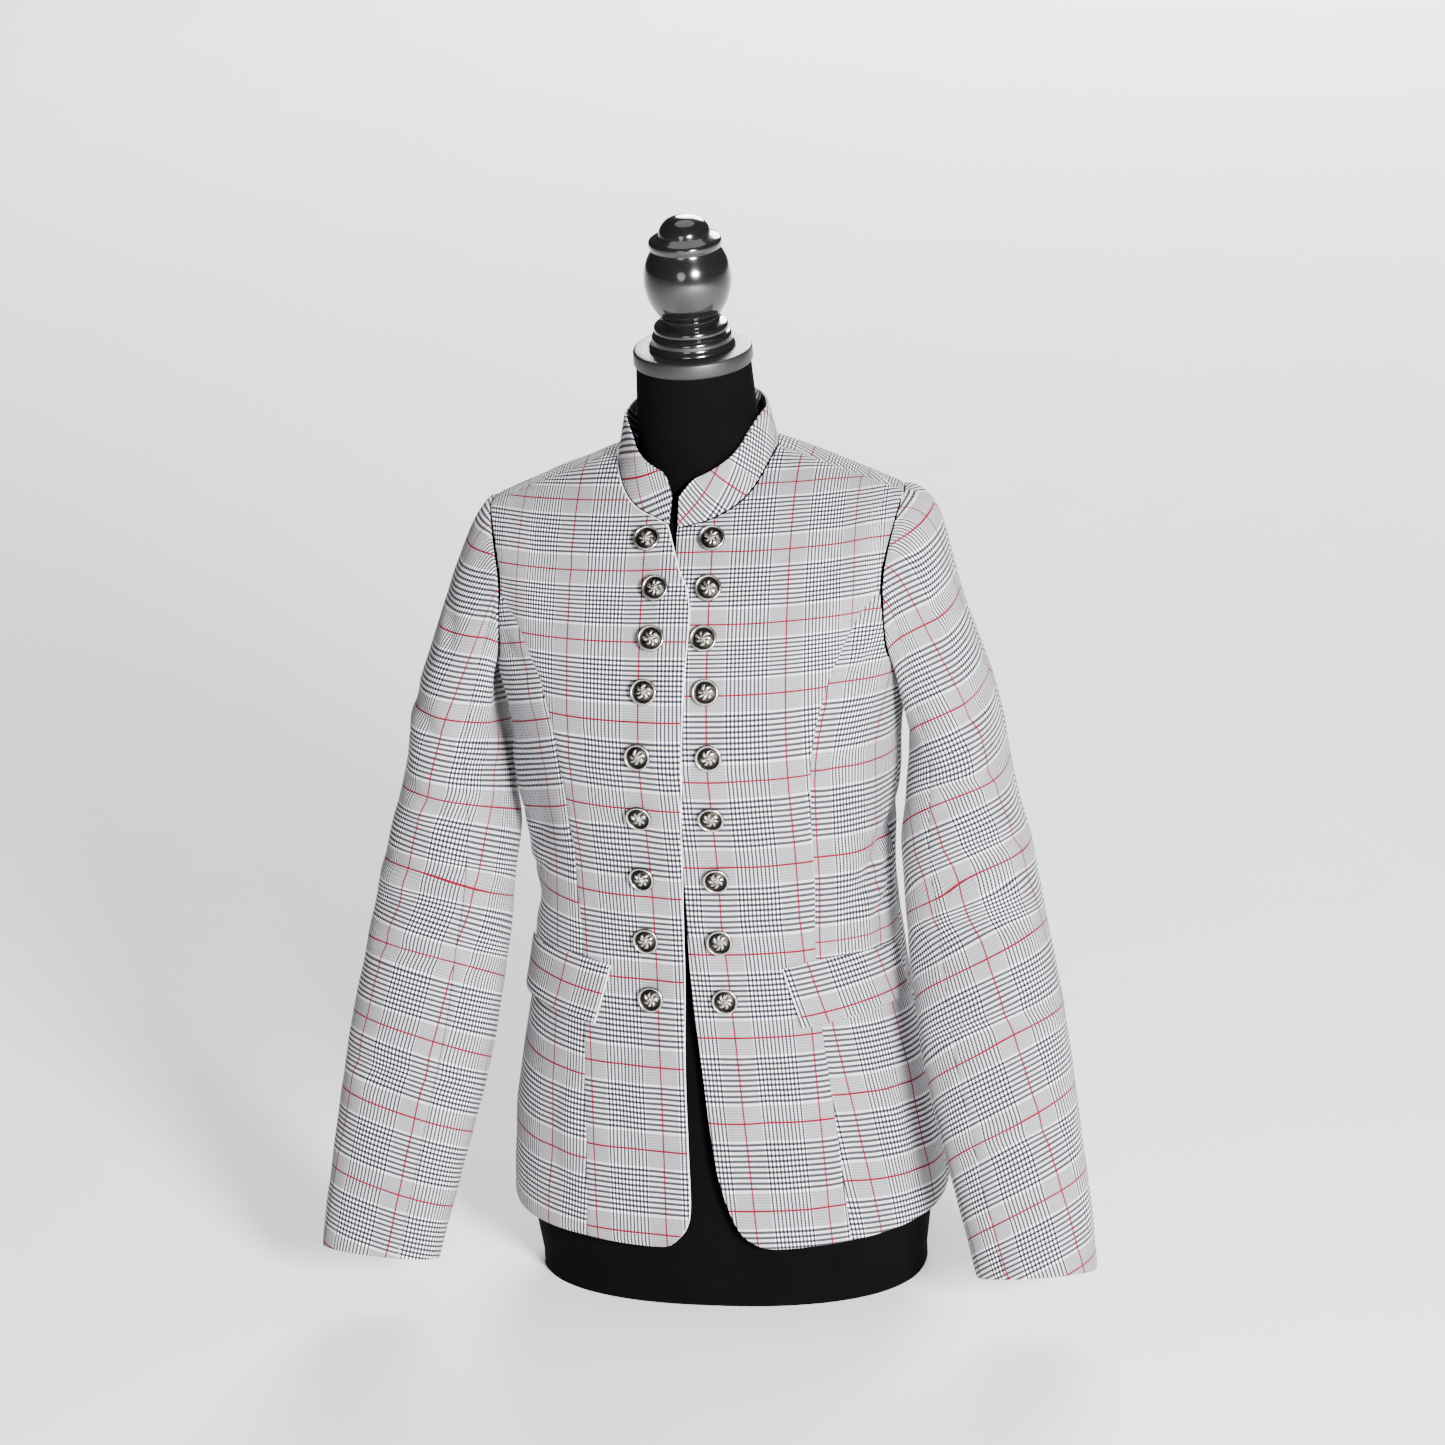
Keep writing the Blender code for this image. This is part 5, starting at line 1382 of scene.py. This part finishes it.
def antique_metal():
    graph = Graph("antique_silver")
    maths = graph.maths
    x, y, z = graph.split(graph.place)
    away = maths("SQRT", maths("ADD", maths("MULTIPLY", x, x), maths("MULTIPLY", y, y)))
    dome = maths("SUBTRACT", DOME_TOP, maths("MULTIPLY", maths("MULTIPLY", away, away), DOME_FALL))
    above = maths("DIVIDE", maths("SUBTRACT", z, dome), DOME_BLEND, clamp=True)
    above = maths("MULTIPLY", above, maths("LESS_THAN", away, DOME_RADIUS))
    # The rim is bright only up to its outer side, which is left dark as painted shade
    past_groove = maths("SUBTRACT", 1.0, maths("LESS_THAN", away, RIM_RADII[0]))
    rim = maths("MULTIPLY", past_groove, maths("LESS_THAN", away, RIM_RADII[1]))
    worn = maths("ADD", graph.noise(graph.place, scale=900.0, detail=4.0), WORN_OFF, clamp=True)
    worn = maths("ADD", worn, WORN_LEAST, clamp=True)
    polish_with_painted_shade = maths("MULTIPLY", maths("MAXIMUM", above, rim), worn, clamp=True)
    graph.surface(
        Base_Color=graph.mix(polish_with_painted_shade, (0.030, 0.027, 0.024), (0.80, 0.77, 0.72)),
        Roughness=graph.spread(polish_with_painted_shade, low=0.40, spread=-0.22), Metallic=1.0)
    graph.bump(graph.noise(graph.place, scale=2600.0, detail=3.0), strength=0.2, distance=0.00008)
    return graph.material


KNIT_COLUMN = 0.0009
KNIT_ROW = 0.0011


def jersey_cloth():
    """Fine black knitted jersey: columns of small loops."""
    graph = Graph("form_jersey")
    x, _, z = graph.split(graph.place)
    clouds = graph.noise(graph.place, scale=30.0, detail=3.0)
    graph.surface(
        Base_Color=graph.mix(clouds, (0.0010, 0.0009, 0.0010), (0.0024, 0.0022, 0.0023)),
        Roughness=graph.spread(graph.noise(graph.place, scale=300.0), low=0.86, spread=0.1),
        Specular_IOR_Level=0.03)
    loops = graph.spread(graph.ribs(z, KNIT_ROW), low=0.0, spread=0.7)
    graph.bump(graph.maths("ADD", graph.ribs(x, KNIT_COLUMN), loops), strength=0.35, distance=0.00015)
    return graph.material


def lacquered_wood():
    graph = Graph("black_lacquer")
    flecks = graph.noise(graph.place, scale=18.0)
    graph.surface(
        Base_Color=graph.mix(flecks, (0.0035, 0.0034, 0.0034), (0.0065, 0.0062, 0.006)),
        Roughness=graph.spread(graph.noise(graph.place, scale=60.0, detail=4.0), low=0.10, spread=0.12),
        Coat_Weight=0.5, Coat_Roughness=0.08)
    graph.bump(graph.noise(graph.place, scale=240.0, detail=3.0), strength=0.10, distance=0.0002)
    return graph.material


def satin_paint():
    graph = Graph("black_satin_disc")
    flecks = graph.noise(graph.place, scale=40.0)
    graph.surface(
        Base_Color=graph.mix(flecks, (0.007, 0.0066, 0.0066), (0.012, 0.0115, 0.0115)),
        Roughness=graph.spread(graph.noise(graph.place, scale=90.0, detail=4.0), low=0.34, spread=0.16))
    graph.bump(graph.noise(graph.place, scale=700.0), strength=0.12, distance=0.0001)
    return graph.material


def floor_paint():
    graph = Graph("pale_floor")
    graph.surface(
        Base_Color=graph.mix(graph.noise(graph.place, scale=3.0), (0.80, 0.80, 0.80), (0.84, 0.84, 0.84)),
        Roughness=graph.spread(graph.noise(graph.place, scale=12.0), low=0.7, spread=0.1))
    return graph.material


# Camera: where it looks, from which way and how it is turned
CAMERA_AZIMUTH = math.radians(11.5)
CAMERA_ELEVATION = math.radians(18.0)
CAMERA_ROLL = math.radians(2.85)
CAMERA_AT = (0.7659, -3.7106, 1.7035)
LENS = 121.53
SENSOR_WIDTH = 36.0


def build_camera():
    right = Vector((math.cos(CAMERA_AZIMUTH), math.sin(CAMERA_AZIMUTH), 0.0))
    level_back = Vector((math.sin(CAMERA_AZIMUTH), -math.cos(CAMERA_AZIMUTH), 0.0))
    back = level_back * math.cos(CAMERA_ELEVATION) + Vector((0.0, 0.0, math.sin(CAMERA_ELEVATION)))
    up = back.cross(right)
    turned_right = right * math.cos(CAMERA_ROLL) - up * math.sin(CAMERA_ROLL)
    turned_up = right * math.sin(CAMERA_ROLL) + up * math.cos(CAMERA_ROLL)
    data = bpy.data.cameras.new("camera")
    data.lens = LENS
    data.sensor_width = SENSOR_WIDTH
    camera = new_object("camera", data)
    turn = Matrix((turned_right, turned_up, back)).transposed()
    camera.matrix_world = Matrix.Translation(CAMERA_AT) @ turn.to_4x4()
    bpy.context.scene.camera = camera


Softbox = namedtuple("Softbox", "name place size power")
SOFTBOXES = [
    Softbox("key", (2.0, -3.05, 1.5), 0.9, 670.0),
    Softbox("fill", (-0.3, -3.9, 1.2), 1.4, 30.0),
    Softbox("top", (0.0, 0.3, 3.0), 2.0, 20.0),
    Softbox("back", (0.0, 8.0, 4.5), 5.0, 1800.0),
]
LIGHT_AIM = Vector((0.0, 0.0, 0.42))
WORLD_COLOUR = (0.95, 0.96, 1.0, 1.0)
WORLD_STRENGTH = 0.08
FLOOR_REACH = 12.0


def build_lights():
    for box in SOFTBOXES:
        data = bpy.data.lights.new(box.name, "AREA")
        data.shape = "DISK"
        data.size = box.size
        data.energy = box.power
        thing = new_object(box.name, data)
        aim = Vector(box.place) - LIGHT_AIM
        thing.matrix_world = Matrix.Translation(box.place) @ aim.to_track_quat("Z", "Y").to_matrix().to_4x4()
    world = bpy.data.worlds.new("studio")
    world.use_nodes = True
    background = world.node_tree.nodes["Background"]
    background.inputs["Color"].default_value = WORLD_COLOUR
    background.inputs["Strength"].default_value = WORLD_STRENGTH
    bpy.context.scene.world = world


def build_floor(material):
    corners = [(x * FLOOR_REACH, y * FLOOR_REACH, 0) for x, y in ((-1, -1), (1, -1), (1, 1), (-1, 1))]
    floor = new_object("floor", new_mesh("floor", corners, [(0, 1, 2, 3)], material))


def main():
    suiting = suiting_cloth()
    for side, word in WORDS.items():
        build_panels(side, word, suiting)
        build_sleeve(side, word, suiting)
        build_flap(side, word, suiting)
    build_collar(suiting)
    build_buttons(antique_metal())
    build_form(jersey_cloth(), satin_paint(), lacquered_wood())
    build_floor(floor_paint())
    build_camera()
    build_lights()


main()
